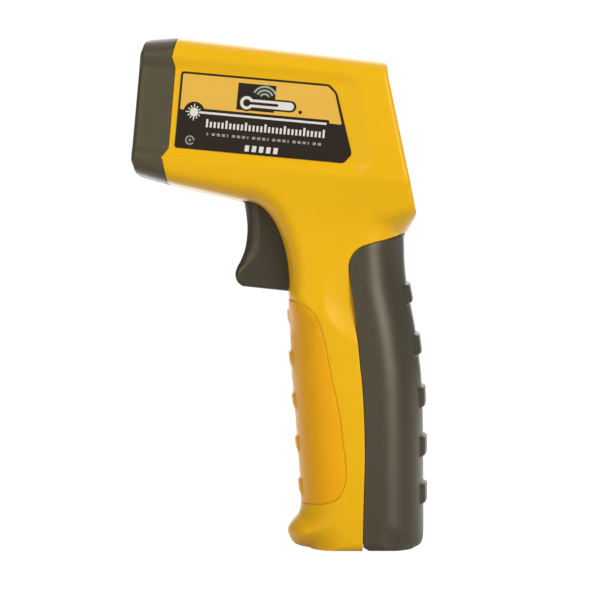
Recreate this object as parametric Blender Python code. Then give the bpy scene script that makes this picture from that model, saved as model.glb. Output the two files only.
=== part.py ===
"""Pistol-type infrared thermometer, as an assembly of separate pieces.

The side view is drawn in millimetres: x runs from the muzzle to the back of
the grip, z runs up, and y is the half-width across the instrument. SIDE_DATUM
is the point of that drawing which becomes the origin, in the middle of the
overall length at the level of the base. Every solid is worked out in these
millimetres and scaled to metres at the end.
"""

import math

import bmesh
import bpy
from mathutils import Matrix, Vector, geometry

# ---------------------------------------------------------------- dimensions
MM = 0.001
BASE_Z = 0.3                # level of the flat base
SIDE_DATUM = (-23.8, BASE_Z)    # side-view point that becomes the origin
GAP = 0.3                   # clearance between neighbouring pieces
SEAM = 0.15                 # half of the gap along a seam

BARREL_TILT = math.radians(7.0)
GRIP_TILT = math.radians(2.9)
REAR_TILT = math.radians(11.95)

HALF_WIDTH_NOSE = 18.3      # at the muzzle
HALF_WIDTH_REAR = 21.5      # at the display end
HALF_WIDTH_GRIP = 16.5
PAD_DEPTH = 1.2             # recess for the side label
PAD_RAMP = 3.0
SCOOP_DEPTH = 1.0           # thumb rest beside the grip
SCOOP_CENTRE = (2.0, 77.5)
SCOOP_RADIUS = 14.0

WALL_HEAD = 2.0
WALL_GRIP = 3.1             # grip skin, clearance and housing wall together
GRIP_SKIN = 1.6
DOOR_SKIN = 1.8
FILLET_SEGMENTS = 3

RIDGE_HEIGHT = 1.3          # bars on the back of the grip
RIDGES = [(81.8, 75.4), (66.5, 59.7), (50.5, 43.8), (35.5, 29.0), (21.0, 14.6)]
FINGER_HEIGHT = 0.7         # swellings on the front of the grip
FINGER_FIRST = 19.3
FINGER_PITCH = 12.95

LENS_W, LASER_W = -4.2, 10.2    # heights of the two optical axes on the nose
LENS_OPENING, LASER_OPENING = 7.6, 2.5

TRIGGER_PIVOT = (-29.5, 109.5)
TRIGGER_HALF = 6.9
SLOT_HALF = 7.4
TRIGGER_PIN_R = 1.2

DOOR_PIVOT = (-16.7, 15.4)
DOOR_PIN_R = 0.6
DOOR_BARREL_R = 1.5
DOOR_LIP = 1.2              # from the pivot to the door's lower and front faces
DOOR_PIN_REACH = 5.0        # half the length of the door's pin
EAR_NEAR, EAR_FAR = 4.4, 5.4  # the two faces of an ear, from the middle plane
KNUCKLE_HALF = 3.8
ROOM = 0.3                  # air on every side of the ears and the knuckle

BATTERY = (26.5, 17.5, 48.5)
BATTERY_CENTRE = (-0.7, 38.3)

SCREWS = [(-41.0, 114.5), (-13.0, 134.0), (3.0, 101.0), (-7.5, 82.5), (-9.0, 8.2)]
BOSS_R, BORE_R, HEAD_R, SHANK_R = 3.6, 1.5, 2.2, 1.2
BOSS_SINK = 1.0             # from the outer surface down to a boss's end
HEAD_SINK = 3.6             # from the outer surface down to a screw head's seat

# outlines of the side view: (x, z)
TOP_LINE = [(-63.7, 154.7), (-54.9, 155.4), (7.9, 147.8)]
NOSE_LINE = [(-67.5, 114.3), (-68.8, 118.0), (-68.73, 119.5), (-66.05, 149.4),
             (-65.9, 150.2), (-64.9, 152.8), (-63.7, 154.7)]
REAR_LINE = [(7.9, 147.8), (8.5, 142.6), (17.1, 101.5)]
UNDER_LINE = [(-34.2, 106.0), (-58.2, 111.6), (-67.5, 114.3)]
GRIP_BACK = [(95.4, 13.9), (87.7, 14.1), (80.6, 14.8), (73.5, 16.2), (67.1, 17.4),
             (58.3, 18.6), (51.2, 19.3), (37.6, 19.8), (22.3, 19.9), (6.9, 19.9)]
GRIP_FRONT = [(13.5, -17.9), (29.1, -18.7), (40.4, -19.5), (53.6, -20.6),
              (65.9, -21.1), (76.0, -21.5)]
HEEL = [(19.7, 3.2), (18.8, 1.2), (17.0, BASE_Z)]
TOE = [(-15.2, BASE_Z), (-18.4, 0.9), (-20.2, 2.0), (-21.3, 3.9), (-21.8, 6.0), (-20.5, 8.6),
       (-18.5, 10.9)]
ARC_CENTRE, ARC_AXES = (-34.2, 80.0), (13.0, 26.0)

PAD_OUTER = [(-66.05, 149.4), (-56.5, 148.7), (-3.0, 143.6), (0.3, 138.4),
             (3.9, 117.7), (-0.3, 112.9), (-59.6, 118.9), (-68.73, 119.5)]
PAD_INNER = [(-66.3, 146.6), (-55.5, 145.7), (-8.7, 141.7), (-5.4, 138.4), (-1.4, 119.2),
             (-4.4, 115.9), (-57.5, 121.8), (-68.5, 122.4)]
LABEL = [(-53.6, 144.6), (-9.1, 140.6), (-6.9, 138.0), (-2.5, 119.6), (-4.9, 116.9),
         (-55.6, 121.9)]
NOSE_SEAM = [(-54.9, 155.4), (-56.5, 148.7), (-55.5, 145.7), (-57.5, 121.8),
             (-59.6, 118.9), (-59.0, 116.0), (-58.2, 111.6)]
DOOR_SEAM = [(-21.8, 77.0), (-20.0, 75.7), (-17.7, 74.6), (-15.4, 73.4), (-13.5, 71.1),
             (-12.1, 67.9), (-10.8, 63.8), (-9.8, 59.1), (-8.5, 52.2), (-7.1, 46.2),
             (-5.9, 39.9), (-5.2, 33.7), (-4.3, 26.4), (-4.2, 21.7), (-5.2, 18.4),
             (-6.6, 16.2), (-9.5, 14.8), (-12.4, 14.3), (-15.4, 14.2)]
GRIP_SEAM = [(13.9, 96.2), (9.2, 94.5), (2.3, 92.6), (-0.1, 91.6), (-1.8, 90.1),
             (-2.9, 88.0), (-3.2, 85.2), (-2.2, 75.9), (-1.0, 67.3), (0.1, 56.9),
             (1.1, 45.9), (1.6, 30.1), (1.3, 17.3), (0.9, BASE_Z)]
CAVITY = [(-16.0, 5.0), (-14.9, 14.0), (-15.6, 29.0), (-16.6, 45.0), (-17.6, 60.0),
          (-18.4, 75.0)]


# -------------------------------------------------------------- materials
def material(name, colour, roughness, metallic=0.0, alpha=1.0):
    made = bpy.data.materials.new(name)
    made.use_nodes = True
    shader = made.node_tree.nodes["Principled BSDF"]
    shader.inputs["Base Color"].default_value = (*colour, 1.0)
    shader.inputs["Roughness"].default_value = roughness
    shader.inputs["Metallic"].default_value = metallic
    shader.inputs["Alpha"].default_value = alpha
    return made


# ----------------------------------------------------------- small geometry
def lerp_table(table, key):
    """Value at key in a list of (key, value) whose keys rise or fall."""
    rows = sorted(table)
    if key <= rows[0][0]:
        return rows[0][1]
    for (k0, v0), (k1, v1) in zip(rows, rows[1:]):
        if key <= k1:
            return v0 + (v1 - v0) * (key - k0) / (k1 - k0)
    return rows[-1][1]


def smooth(t):
    t = min(max(t, 0.0), 1.0)
    return t * t * (3 - 2 * t)


def nearest(line, x, z):
    """(distance, index, share) of the nearest place on an open line."""
    best = (1e9, 0, 0.0)
    for i in range(len(line) - 1):
        ax, az = line[i][:2]
        bx, bz = line[i + 1][:2]
        dx, dz = bx - ax, bz - az
        share = ((x - ax) * dx + (z - az) * dz) / (dx * dx + dz * dz)
        share = min(max(share, 0.0), 1.0)
        away = math.hypot(x - ax - share * dx, z - az - share * dz)
        if away < best[0]:
            best = (away, i, share)
    return best


def inside(polygon, x, z):
    hit = False
    for (ax, az), (bx, bz) in zip(polygon, polygon[1:] + polygon[:1]):
        if (az > z) != (bz > z) and x < ax + (bx - ax) * (z - az) / (bz - az):
            hit = not hit
    return hit


def signed_area(polygon):
    pairs = zip(polygon, polygon[1:] + polygon[:1])
    return sum(ax * bz - bx * az for (ax, az), (bx, bz) in pairs) / 2


def offset(polygon, inward):
    """The closed polygon moved inward, each corner along its mitre."""
    turn = 1 if signed_area(polygon) > 0 else -1
    count = len(polygon)
    moved = []
    for i, (x, z) in enumerate(polygon):
        px, pz = polygon[i - 1]
        nx, nz = polygon[(i + 1) % count]
        before = Vector((x - px, z - pz)).normalized()
        after = Vector((nx - x, nz - z)).normalized()
        n0 = Vector((-before.y, before.x)) * turn
        n1 = Vector((-after.y, after.x)) * turn
        mean = (n0 + n1).normalized()
        reach = inward / max(mean.dot(n1), 0.5)
        moved.append((x + mean.x * reach, z + mean.y * reach))
    return moved


def divided(polygon, longest):
    """The closed polygon with its long sides cut into equal lengths."""
    made = []
    for (ax, az), (bx, bz) in zip(polygon, polygon[1:] + polygon[:1]):
        parts = max(math.ceil(math.hypot(bx - ax, bz - az) / longest), 1)
        made += [(ax + (bx - ax) * k / parts, az + (bz - az) * k / parts)
                 for k in range(parts)]
    return made


# ------------------------------------------------------- shape of the outside
def grip_back(ridged):
    """The back of the grip from the head down to the heel."""
    stations = [(95.4, 0.0), (87.7, 0.0)]
    for high, low in RIDGES:
        proud = RIDGE_HEIGHT if ridged else 0.0
        stations += [(high, 0.0), (high - 1.2, proud), (low + 1.2, proud), (low, 0.0)]
    stations.append((6.9, 0.0))
    return [(lerp_table(GRIP_BACK, z) + out, z) for z, out in stations] + HEEL


def grip_front(ridged):
    """The front of the grip from the door's lower edge up to the trigger."""
    line = []
    for step in range(20):
        z = FINGER_FIRST + FINGER_PITCH * (step / 4 - 0.5)
        swell = 0.5 + 0.5 * math.cos(2 * math.pi * (z - FINGER_FIRST) / FINGER_PITCH)
        out = FINGER_HEIGHT * swell if ridged else 0.0
        line.append((lerp_table(GRIP_FRONT, z) - out, z))
    return line + [(-21.8, 77.6)]


def arc_line(grow, count, first=0.0, last=90.0):
    """The finger arc behind the trigger, from the grip up to the head."""
    points = []
    for step in range(count + 1):
        angle = math.radians(first + (last - first) * step / count)
        points.append((ARC_CENTRE[0] + (ARC_AXES[0] + grow) * math.cos(angle),
                       ARC_CENTRE[1] + (ARC_AXES[1] + grow) * math.sin(angle)))
    return points


def outline(ridged):
    """The closed side outline of the whole body, without the trigger."""
    return (TOP_LINE[:-1] + REAR_LINE + grip_back(ridged) + TOE + grip_front(ridged)
            + arc_line(0.0, 9) + UNDER_LINE[1:-1] + NOSE_LINE[:-1])


def rounding_groups(ridged):
    """Stretches of the outline with their edge rounding.

    Each station is (x, z, run, depth): the rounding starts run millimetres
    inside the outline and takes depth millimetres off the half-width."""
    back = [(17.1, 101.5, 1.5, 1.5)]
    for x, z in grip_back(ridged):
        share = smooth((95.4 - z) / 8.0)
        back.append((x, z, 5 + 8 * share, 7 + 9.1 * share))
    front = [(x, z, 13.0, 16.1) for x, z in TOE]
    for x, z in grip_front(ridged):
        share = smooth((z - 66.0) / 11.0)
        front.append((x, z, 13 - 7.5 * share, 16.1 - 7.5 * share))
    front += [(x, z, 5.5, 8.6) for x, z in arc_line(0.0, 9)]
    front += [(x, z, 4.0, 6.0) for x, z in UNDER_LINE[1:]]
    return [
        [(x, z, 5.2, 9.0) for x, z in TOP_LINE],
        [(x, z, 2.0, 2.0) for x, z in NOSE_LINE],
        [(x, z, 1.5, 1.5) for x, z in REAR_LINE],
        [(HEEL[-1][0], BASE_Z, 3.0, 3.0), (TOE[0][0], BASE_Z, 3.0, 3.0)],
        back,
        front,
    ]


def rounding(groups, x, z, inset):
    """How far the rounded edges take the side surface in from its half-width."""
    most = 0.0
    for group in groups:
        away, i, share = nearest(group, x, z)
        run = group[i][2] + share * (group[i + 1][2] - group[i][2]) - inset
        depth = group[i][3] + share * (group[i + 1][3] - group[i][3]) - inset
        run, depth = max(run, 0.3), max(depth, 0.3)
        part = max(away - inset, 0.0) / run
        if part < 1.0:
            most = max(most, depth * (1 - math.sqrt(1 - (1 - part) ** 2)))
    return most


def half_width(x, z):
    """Half-width of the plain side surface: head above, grip below."""
    along = min(max((x + 68.0) / 76.0, 0.0), 1.0)
    head = HALF_WIDTH_NOSE + along * (HALF_WIDTH_REAR - HALF_WIDTH_NOSE)
    ridge = 112.9 - 0.101 * (x + 0.3)
    share = smooth((z - 92.0) / (ridge - 92.0))
    return HALF_WIDTH_GRIP + share * (head - HALF_WIDTH_GRIP)


def pad(x, z):
    """Depth of the recess that holds the label."""
    border = [(-80.0, 150.2), *PAD_OUTER[1:-1], (-80.0, 120.2)]
    if not inside(border, x, z):
        return 0.0
    return PAD_DEPTH * min(nearest(border, x, z)[0] / PAD_RAMP, 1.0)


def scoop(x, z):
    """Depth of the thumb rest, which stops at the edge of the rear grip."""
    if x > -1.0:
        return 0.0
    away = math.hypot(x - SCOOP_CENTRE[0], z - SCOOP_CENTRE[1]) / SCOOP_RADIUS
    return SCOOP_DEPTH * max(1 - away * away, 0.0)


def surface(x, z, radius=0.0):
    """Least half-width of the body's own surface within a radius."""
    groups = rounding_groups(False)
    ring = [(x + radius * math.cos(math.radians(a)), z + radius * math.sin(math.radians(a)))
            for a in range(0, 360, 45)]
    return min(half_width(*p) - pad(*p) - rounding(groups, *p, 0.0) for p in ring)


# --------------------------------------------------------- solids from meshes
def new_object(name, verts, faces):
    mesh = bpy.data.meshes.new(name)
    mesh.from_pydata([tuple(v) for v in verts], [], faces)
    mesh.validate()
    made = bpy.data.objects.new(name, mesh)
    bpy.context.scene.collection.objects.link(made)
    work = bmesh.new()
    work.from_mesh(mesh)
    bmesh.ops.recalc_face_normals(work, faces=work.faces)
    if work.calc_volume(signed=True) < 0:
        bmesh.ops.reverse_faces(work, faces=work.faces)
    work.to_mesh(mesh)
    work.free()
    return made


def envelope(name, edge, height, rows, step, creases=()):
    """A closed solid: the side outline with a surface at y = +-height(x, z).

    rows are the distances from the outline at which extra points follow it,
    step is the spacing of the points further in, and creases are open lines
    that the surface must follow."""
    edge = divided(edge, 0.8 * step)
    points = list(edge)
    edges = []
    for line in creases:
        ids = []
        for place in line:
            known = [i for i, p in enumerate(points) if math.dist(p, place) < 0.05]
            if not known:
                points.append(place)
            ids.append(known[0] if known else len(points) - 1)
        edges += list(zip(ids, ids[1:]))
    closed_edge = edge + edge[:1]

    def add(place, least):
        if not inside(edge, *place):
            return
        if nearest(closed_edge, *place)[0] < least:
            return
        if all(math.dist(place, p) > 0.4 * step for p in points[len(edge):]):
            points.append(place)

    for away in rows:
        for place in offset(edge, away):
            if inside(edge, *place) and nearest(closed_edge, *place)[0] > 0.95 * away:
                if all(math.dist(place, p) > 0.45 * away for p in points):
                    points.append(place)
    low_x, high_x = min(p[0] for p in edge), max(p[0] for p in edge)
    low_z, high_z = min(p[1] for p in edge), max(p[1] for p in edge)
    for i in range(int((high_x - low_x) / step) + 1):
        for j in range(int((high_z - low_z) / step) + 1):
            add((low_x + (i + 0.5) * step, low_z + (j + 0.5) * step), rows[-1] + 0.4 * step)
    made = geometry.delaunay_2d_cdt([Vector(p) for p in points], edges,
                                    [list(range(len(edge)))], 1, 1e-4)
    flat, faces = made[0], made[2]
    count = len(flat)
    high = [max(height(p.x, p.y), 0.4) for p in flat]
    verts = [(p.x, -h, p.y) for p, h in zip(flat, high)]
    verts += [(p.x, h, p.y) for p, h in zip(flat, high)]
    quads = [tuple(face) for face in faces]
    quads += [tuple(count + i for i in reversed(face)) for face in faces]
    uses = {}
    for face in faces:
        for a, b in zip(face, list(face[1:]) + [face[0]]):
            uses.setdefault((min(a, b), max(a, b)), []).append((a, b))
    for pair in uses.values():
        if len(pair) == 1:
            a, b = pair[0]
            quads.append((b, a, count + a, count + b))
    return new_object(name, verts, quads)


def shrunk(made, distance):
    """The solid with every point moved inward along its normal."""
    work = bmesh.new()
    work.from_mesh(made.data)
    work.normal_update()
    moves = [(v, v.co - v.normal * distance) for v in work.verts]
    for vert, place in moves:
        vert.co = place
    work.to_mesh(made.data)
    work.free()
    return made


def prism(name, polygon, y_low, y_high):
    """A side-view polygon carried along y between two levels."""
    count = len(polygon)
    verts = [(x, y_low, z) for x, z in polygon] + [(x, y_high, z) for x, z in polygon]
    faces = [tuple(range(count)), tuple(range(2 * count - 1, count - 1, -1))]
    faces += [(i, (i + 1) % count, count + (i + 1) % count, count + i) for i in range(count)]
    return new_object(name, verts, faces)


def turned(name, place, profile, sides=24):
    """A turned solid: profile is a closed list of (radius, height) about the
    local z axis of place, where radius 0 is a point on the axis."""
    verts, rings = [], []
    for radius, height in profile:
        if radius == 0:
            rings.append([len(verts)] * sides)
            verts.append(place @ Vector((0, 0, height)))
            continue
        rings.append(list(range(len(verts), len(verts) + sides)))
        for k in range(sides):
            angle = 2 * math.pi * k / sides
            spot = Vector((radius * math.cos(angle), radius * math.sin(angle), height))
            verts.append(place @ spot)
    faces = []
    for first, second in zip(rings, rings[1:] + rings[:1]):
        if first[0] == first[1] and second[0] == second[1]:
            continue
        for k in range(sides):
            n = (k + 1) % sides
            ring = [first[k], first[n], second[n], second[k]]
            faces.append(tuple(dict.fromkeys(ring)))
    return new_object(name, verts, faces)


def rod(name, place, radius, low, high, sides=24):
    return turned(name, place, [(0, low), (radius, low), (radius, high), (0, high)], sides)


def tube(name, place, outer, inner, low, high, sides=32):
    profile = [(inner, low), (outer, low), (outer, high), (inner, high)]
    return turned(name, place, profile, sides)


def block(name, place, low, high, bevel=0.0, segments=2):
    """A box between two local corners, with its edges rounded."""
    made = new_object(name, *box_data(low, high))
    if bevel:
        work = bmesh.new()
        work.from_mesh(made.data)
        bmesh.ops.bevel(work, geom=list(work.edges), offset=bevel, segments=segments,
                        affect="EDGES", profile=0.5, clamp_overlap=True)
        work.to_mesh(made.data)
        work.free()
    made.data.transform(place)
    return made


def box_data(low, high):
    xs, ys, zs = zip(low, high)
    verts = [(x, y, z) for x in xs for y in ys for z in zs]
    faces = [(0, 1, 3, 2), (4, 6, 7, 5), (0, 4, 5, 1), (2, 3, 7, 6), (0, 2, 6, 4),
             (1, 5, 7, 3)]
    return verts, faces


def rounded_plate(name, place, half_a, half_b, radius, low, high, corner=4):
    """A plate with rounded corners in the local xy plane of place."""
    verts = []
    for ca, cb, start in ((1, 1, 0), (-1, 1, 90), (-1, -1, 180), (1, -1, 270)):
        for k in range(corner + 1):
            angle = math.radians(start + 90 * k / corner)
            verts.append((ca * (half_a - radius) + radius * math.cos(angle),
                          cb * (half_b - radius) + radius * math.sin(angle)))
    count = len(verts)
    places = [place @ Vector((a, b, low)) for a, b in verts]
    places += [place @ Vector((a, b, high)) for a, b in verts]
    faces = [tuple(range(count)), tuple(range(2 * count - 1, count - 1, -1))]
    faces += [(i, (i + 1) % count, count + (i + 1) % count, count + i) for i in range(count)]
    return new_object(name, places, faces)


def sheet(name, polygon, side, low, high):
    """A thin plate that follows the side surface between two depths below it."""
    count = len(polygon)
    verts = [(x, side * (half_width(x, z) - low), z) for x, z in polygon]
    verts += [(x, side * (half_width(x, z) - high), z) for x, z in polygon]
    faces = [tuple(range(count)), tuple(range(2 * count - 1, count - 1, -1))]
    faces += [(i, (i + 1) % count, count + (i + 1) % count, count + i) for i in range(count)]
    return new_object(name, verts, faces)


def wire(name, points, radius, sides=6):
    """A round wire along a smooth curve through the points."""
    curve = bpy.data.curves.new(name, "CURVE")
    curve.dimensions = "3D"
    curve.bevel_depth = radius
    curve.bevel_resolution = max(sides // 2 - 2, 0)
    curve.use_fill_caps = True
    spline = curve.splines.new("POLY")
    spline.points.add(len(points) - 1)
    for point, place in zip(spline.points, points):
        point.co = (*place, 1.0)
    path = bpy.data.objects.new(name, curve)
    bpy.context.scene.collection.objects.link(path)
    mesh = baked(path)
    bpy.data.objects.remove(path)
    made = bpy.data.objects.new(name, mesh)
    bpy.context.scene.collection.objects.link(made)
    work = bmesh.new()
    work.from_mesh(mesh)
    bmesh.ops.remove_doubles(work, verts=work.verts, dist=1e-4)
    bmesh.ops.recalc_face_normals(work, faces=work.faces)
    work.to_mesh(mesh)
    work.free()
    return made


def curve_through(points, per):
    """A smooth Catmull-Rom curve through the points."""
    ends = [points[0], *points, points[-1]]
    made = []
    for p0, p1, p2, p3 in zip(ends, ends[1:], ends[2:], ends[3:]):
        p0, p1, p2, p3 = (Vector(p) for p in (p0, p1, p2, p3))
        for k in range(per):
            t = k / per
            made.append(0.5 * (2 * p1 + (p2 - p0) * t + (2 * p0 - 5 * p1 + 4 * p2 - p3) * t * t
                               + (3 * p1 - p0 - 3 * p2 + p3) * t ** 3))
    return made + [Vector(points[-1])]


# ------------------------------------------------------------------ booleans
def baked(made):
    graph = bpy.context.evaluated_depsgraph_get()
    return bpy.data.meshes.new_from_object(made.evaluated_get(graph))


def combine(made, tools, operation):
    for tool in tools:
        step = made.modifiers.new(operation, "BOOLEAN")
        step.operation = operation
        step.solver = "EXACT"
        step.object = tool
        bpy.context.view_layer.update()
        mesh = baked(made)
        triangulated(mesh)
        made.modifiers.clear()
        made.data = mesh
        bpy.data.objects.remove(tool)
    return made


def triangulated(mesh):
    """Splits every face into triangles, so that the next Boolean sees no holed face."""
    work = bmesh.new()
    work.from_mesh(mesh)
    bmesh.ops.remove_doubles(work, verts=work.verts, dist=1e-4)
    bmesh.ops.triangulate(work, faces=work.faces)
    work.to_mesh(mesh)
    work.free()


def cut(made, *tools):
    return combine(made, tools, "DIFFERENCE")


def join(made, *tools):
    return combine(made, tools, "UNION")


def keep(made, *tools):
    return combine(made, tools, "INTERSECT")


def twin(made, name):
    copy = bpy.data.objects.new(name, made.data.copy())
    bpy.context.scene.collection.objects.link(copy)
    return copy


# ------------------------------------------------------------- local frames
def frame_of(origin, x_axis, y_axis, z_axis):
    rows = Matrix((x_axis, y_axis, z_axis)).transposed().to_4x4()
    return Matrix.Translation(origin) @ rows


C7, S7 = math.cos(BARREL_TILT), math.sin(BARREL_TILT)
CR, SR = math.cos(REAR_TILT), math.sin(REAR_TILT)
NOSE_FACE = Vector((-67.35, 0, 134.0))
REAR_FACE = Vector((12.8, 0, 122.05))


def barrel(up=0.0, aside=0.0):
    """Frame on the nose face: local z runs back along the barrel."""
    back, rise = Vector((C7, 0, -S7)), Vector((S7, 0, C7))
    side = Vector((0, 1, 0))
    return frame_of(NOSE_FACE + up * rise + aside * side, side, rise, back)


def rear(up=0.0, aside=0.0):
    """Frame on the display end: local x is across, y up, z outward."""
    out, rise = Vector((CR, 0, SR)), Vector((-SR, 0, CR))
    side = Vector((0, 1, 0))
    return frame_of(REAR_FACE + up * rise + aside * side, side, rise, out)


def handle():
    """Frame at the battery's middle: local z runs up the grip."""
    turn = Matrix.Rotation(-GRIP_TILT, 4, "Y")
    return Matrix.Translation((BATTERY_CENTRE[0], 0, BATTERY_CENTRE[1])) @ turn


def across(x, z):
    """Frame whose local z runs along +y through a side-view point."""
    return frame_of((x, 0, z), Vector((0, 0, 1)), Vector((1, 0, 0)), Vector((0, 1, 0)))


# ------------------------------------------------------------ the outer shell
def wall(x, z):
    return WALL_GRIP + (WALL_HEAD - WALL_GRIP) * min(max((z - 94) / 10, 0), 1)


def cavity_edge():
    back = [(14.6, 103.2), (12.0, 98.5), (10.8, 94.0)]
    back += [(lerp_table(GRIP_BACK, z) - WALL_GRIP, z) for z in (87, 80, 73, 66, 58, 50, 36, 22, 8)]
    head = arc_line(2.4, 7, 2.0, 88.0) + [(-57.5, 113.8), (-65.6, 117.0), (-66.4, 120.0),
                                          (-63.8, 148.6), (-61.8, 152.2), (-54.7, 153.1),
                                          (5.9, 145.8), (6.4, 142.4)]
    return head + back + [(14.6, 5.0)] + CAVITY


def grip_edge(inset):
    """Side outline of the grip alone, moved inward, closed across the head."""
    line = [(13.9, 101.0)] + grip_back(False) + TOE + grip_front(False)[:-1]
    return offset(line + [(-21.4, 82.0)], inset)


def grip_core(name, inset):
    groups = rounding_groups(False)

    def height(x, z):
        return half_width(x, z) - inset - rounding(groups, x, z, inset)

    return envelope(name, grip_edge(inset), height, (0.3, 1.5, 4.0, 7.5), 9.0)


def outside(polygon_line, side_points, move):
    """A seam line closed round its outer side and moved by a part of the gap."""
    return offset(polygon_line + side_points, move)


def nose_region(move):
    return outside(NOSE_SEAM, [(-59.5, 100.0), (-80.0, 100.0), (-80.0, 165.0),
                               (-54.0, 165.0)], move)


def door_region(move):
    """The door's lower front corner is round about its pivot, so that it can turn."""
    x, z = DOOR_PIVOT
    if move < 0:
        return outside(DOOR_SEAM, [(-40.0, z - DOOR_LIP), (-40.0, 77.0)], move)
    corner = [(x - DOOR_LIP * math.sin(math.radians(a)), z - DOOR_LIP * math.cos(math.radians(a)))
              for a in (0, 30, 60, 90)]
    return outside(DOOR_SEAM + corner, [(-40.0, z), (-40.0, 77.0)], move)


def grip_region(move):
    return outside(GRIP_SEAM, [(0.9, -6.0), (40.0, -6.0), (40.0, 96.2)], move)


def shell():
    groups = rounding_groups(True)

    def height(x, z):
        plain = half_width(x, z) - pad(x, z) - scoop(x, z)
        return plain - rounding(groups, x, z, 0.0)

    def hollow(x, z):
        inset = wall(x, z)
        return half_width(x, z) - pad(x, z) - inset - rounding(groups_plain, x, z, inset)

    groups_plain = rounding_groups(False)
    outer = envelope("outer", outline(True), height, (0.3, 1.4, 3.8, 7.5), 9.0,
                     (PAD_OUTER, PAD_INNER))
    inner = envelope("inner", cavity_edge(), hollow, (0.8, 3.5), 14.0)
    return outer, inner


def side_block(name, polygon):
    return prism(name, polygon, -40.0, 40.0)


def build_shell():
    """The pieces that share the outside surface."""
    outer, inner = shell()
    skin = cut(twin(outer, "skin"), inner)

    nose = keep(twin(skin, "nose_cap"), side_block("t", nose_region(SEAM)))
    sleeve = block("t", barrel(), (-14.3, -16.0, 1.4), (14.3, 14.6, 15.5))
    cut(sleeve, block("t", barrel(), (-13.2, -14.9, 0.0), (13.2, 13.5, 16.5)))
    join(nose, sleeve)
    cut(nose, rod("t", barrel(LENS_W), LENS_OPENING, -5, 9, 40),
        rod("t", barrel(LASER_W), LASER_OPENING, -5, 9))

    door = keep(twin(outer, "battery_door"), side_block("t", door_region(SEAM)))
    cut(door, grip_core("t", DOOR_SKIN))
    grip = keep(twin(outer, "rear_grip"), side_block("t", grip_region(SEAM)))
    cut(grip, grip_core("t", GRIP_SKIN))

    cut(skin, side_block("t", nose_region(-SEAM)), side_block("t", door_region(-SEAM)))
    cut(skin, cut(side_block("t", grip_region(-SEAM)), shrunk(grip_core("t", GRIP_SKIN), GAP)))
    cut(skin, rounded_plate("t", rear(-0.3), 17.8, 19.0, 3.0, -6.0, 6.0))
    slot = [(-40, 78.3), (-21.0, 78.3), (-17.4, 79.2), (-17.4, 96.0), (-22.0, 112.6),
            (-34.6, 112.6), (-35.5, 110.0), (-35.5, 104.0), (-40, 104.0)]
    cut(skin, prism("t", slot, -SLOT_HALF, SLOT_HALF))
    bpy.data.objects.remove(outer)
    return skin, nose, door, grip


def housing_halves(skin):
    """The two halves, with their screw bosses, pin seats and ribs."""
    halves = []
    for name, side in (("housing_left", -1), ("housing_right", 1)):
        half = twin(skin, name)
        other = (-90, -SEAM, -10) if side < 0 else (-90, -40, -10)
        other_end = (40, 40, 170) if side < 0 else (40, SEAM, 170)
        cut(half, block("t", Matrix(), other, other_end))
        for x, z in SCREWS:
            reach = surface(x, z, BOSS_R) - BOSS_SINK
            low, high = sorted((side * 0.3, side * reach))
            join(half, rod("t", across(x, z), BOSS_R, low, high, 20))
        x, z = TRIGGER_PIVOT
        low, high = sorted((side * SLOT_HALF, side * (half_width(x, z) - 1.8)))
        join(half, rod("t", across(x, z), 2.8, low, high, 20))
        low, high = sorted((side * (SLOT_HALF - 1), side * 9.2))
        cut(half, rod("t", across(x, z), TRIGGER_PIN_R + GAP, low, high, 20))
        add_hinge_ear(half, side)
        halves.append(half)
    bpy.data.objects.remove(skin)
    left, right = halves
    seat = [(-11.4, 87.0), (-10.0, 87.0), (-10.0, 96.0), (-11.4, 96.0)]
    join(left, prism("t", seat, -15.2, 3.6))
    for x, z in SCREWS:
        wide = surface(x, z)
        cut(left, rod("t", across(x, z), BORE_R, -10.0, 1.0, 20))
        cut(right, rod("t", across(x, z), BORE_R, -1.0, 30, 20),
            rod("t", across(x, z), HEAD_R + GAP, wide - HEAD_SINK - 0.4, 40, 20))


def add_hinge_ear(half, side):
    """An ear on the toe that carries one end of the door's pin."""
    x, z = DOOR_PIVOT
    profile = [(x + 1.5 * math.cos(math.radians(a)), z + 1.5 * math.sin(math.radians(a)))
               for a in (0, 30, 60, 90, 120, 150)]
    profile = [(max(px, x - 1.1), pz) for px, pz in profile]
    profile += [(x - 1.1, z), (x - 0.9, 11.5), (x + 1.5, 11.5)]
    low, high = sorted((side * EAR_NEAR, side * EAR_FAR))
    join(half, prism("t", profile, low, high))
    low, high = sorted((side * (EAR_NEAR - 0.4), side * (EAR_FAR + 0.4)))
    cut(half, rod("t", across(x, z), DOOR_PIN_R + GAP, low, high, 16))


def finish_door(door):
    """Pockets for the two ears, and the knuckle between them."""
    x, z = DOOR_PIVOT
    for side in (-1, 1):
        low, high = sorted((side * (EAR_NEAR - ROOM), side * (EAR_FAR + ROOM)))
        cut(door, prism("t", [(x - 6, 10.0), (x + 4, 10.0), (x + 4, z + 2.1), (x - 6, z + 2.1)],
                        low, high))
    ring = []
    for angle in range(0, 360, 20):
        radius = DOOR_LIP - SEAM if 170 < angle < 280 else DOOR_BARREL_R
        turn = math.radians(angle)
        ring.append((max(x + radius * math.cos(turn), x - DOOR_LIP + SEAM),
                     max(z + radius * math.sin(turn), z - DOOR_LIP + SEAM)))
    web = [(x - 1.0, z + 0.4), (x + 0.9, z + 0.4), (x + 0.6, z + 2.4), (x - 1.0, z + 4.0)]
    knuckle = join(prism("t", ring, -KNUCKLE_HALF, KNUCKLE_HALF),
                   prism("t", web, -KNUCKLE_HALF, KNUCKLE_HALF))
    join(door, knuckle)
    bore = DOOR_PIN_REACH + ROOM
    cut(door, rod("t", across(x, z), DOOR_PIN_R + GAP, -bore, bore, 16))
    return door


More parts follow.
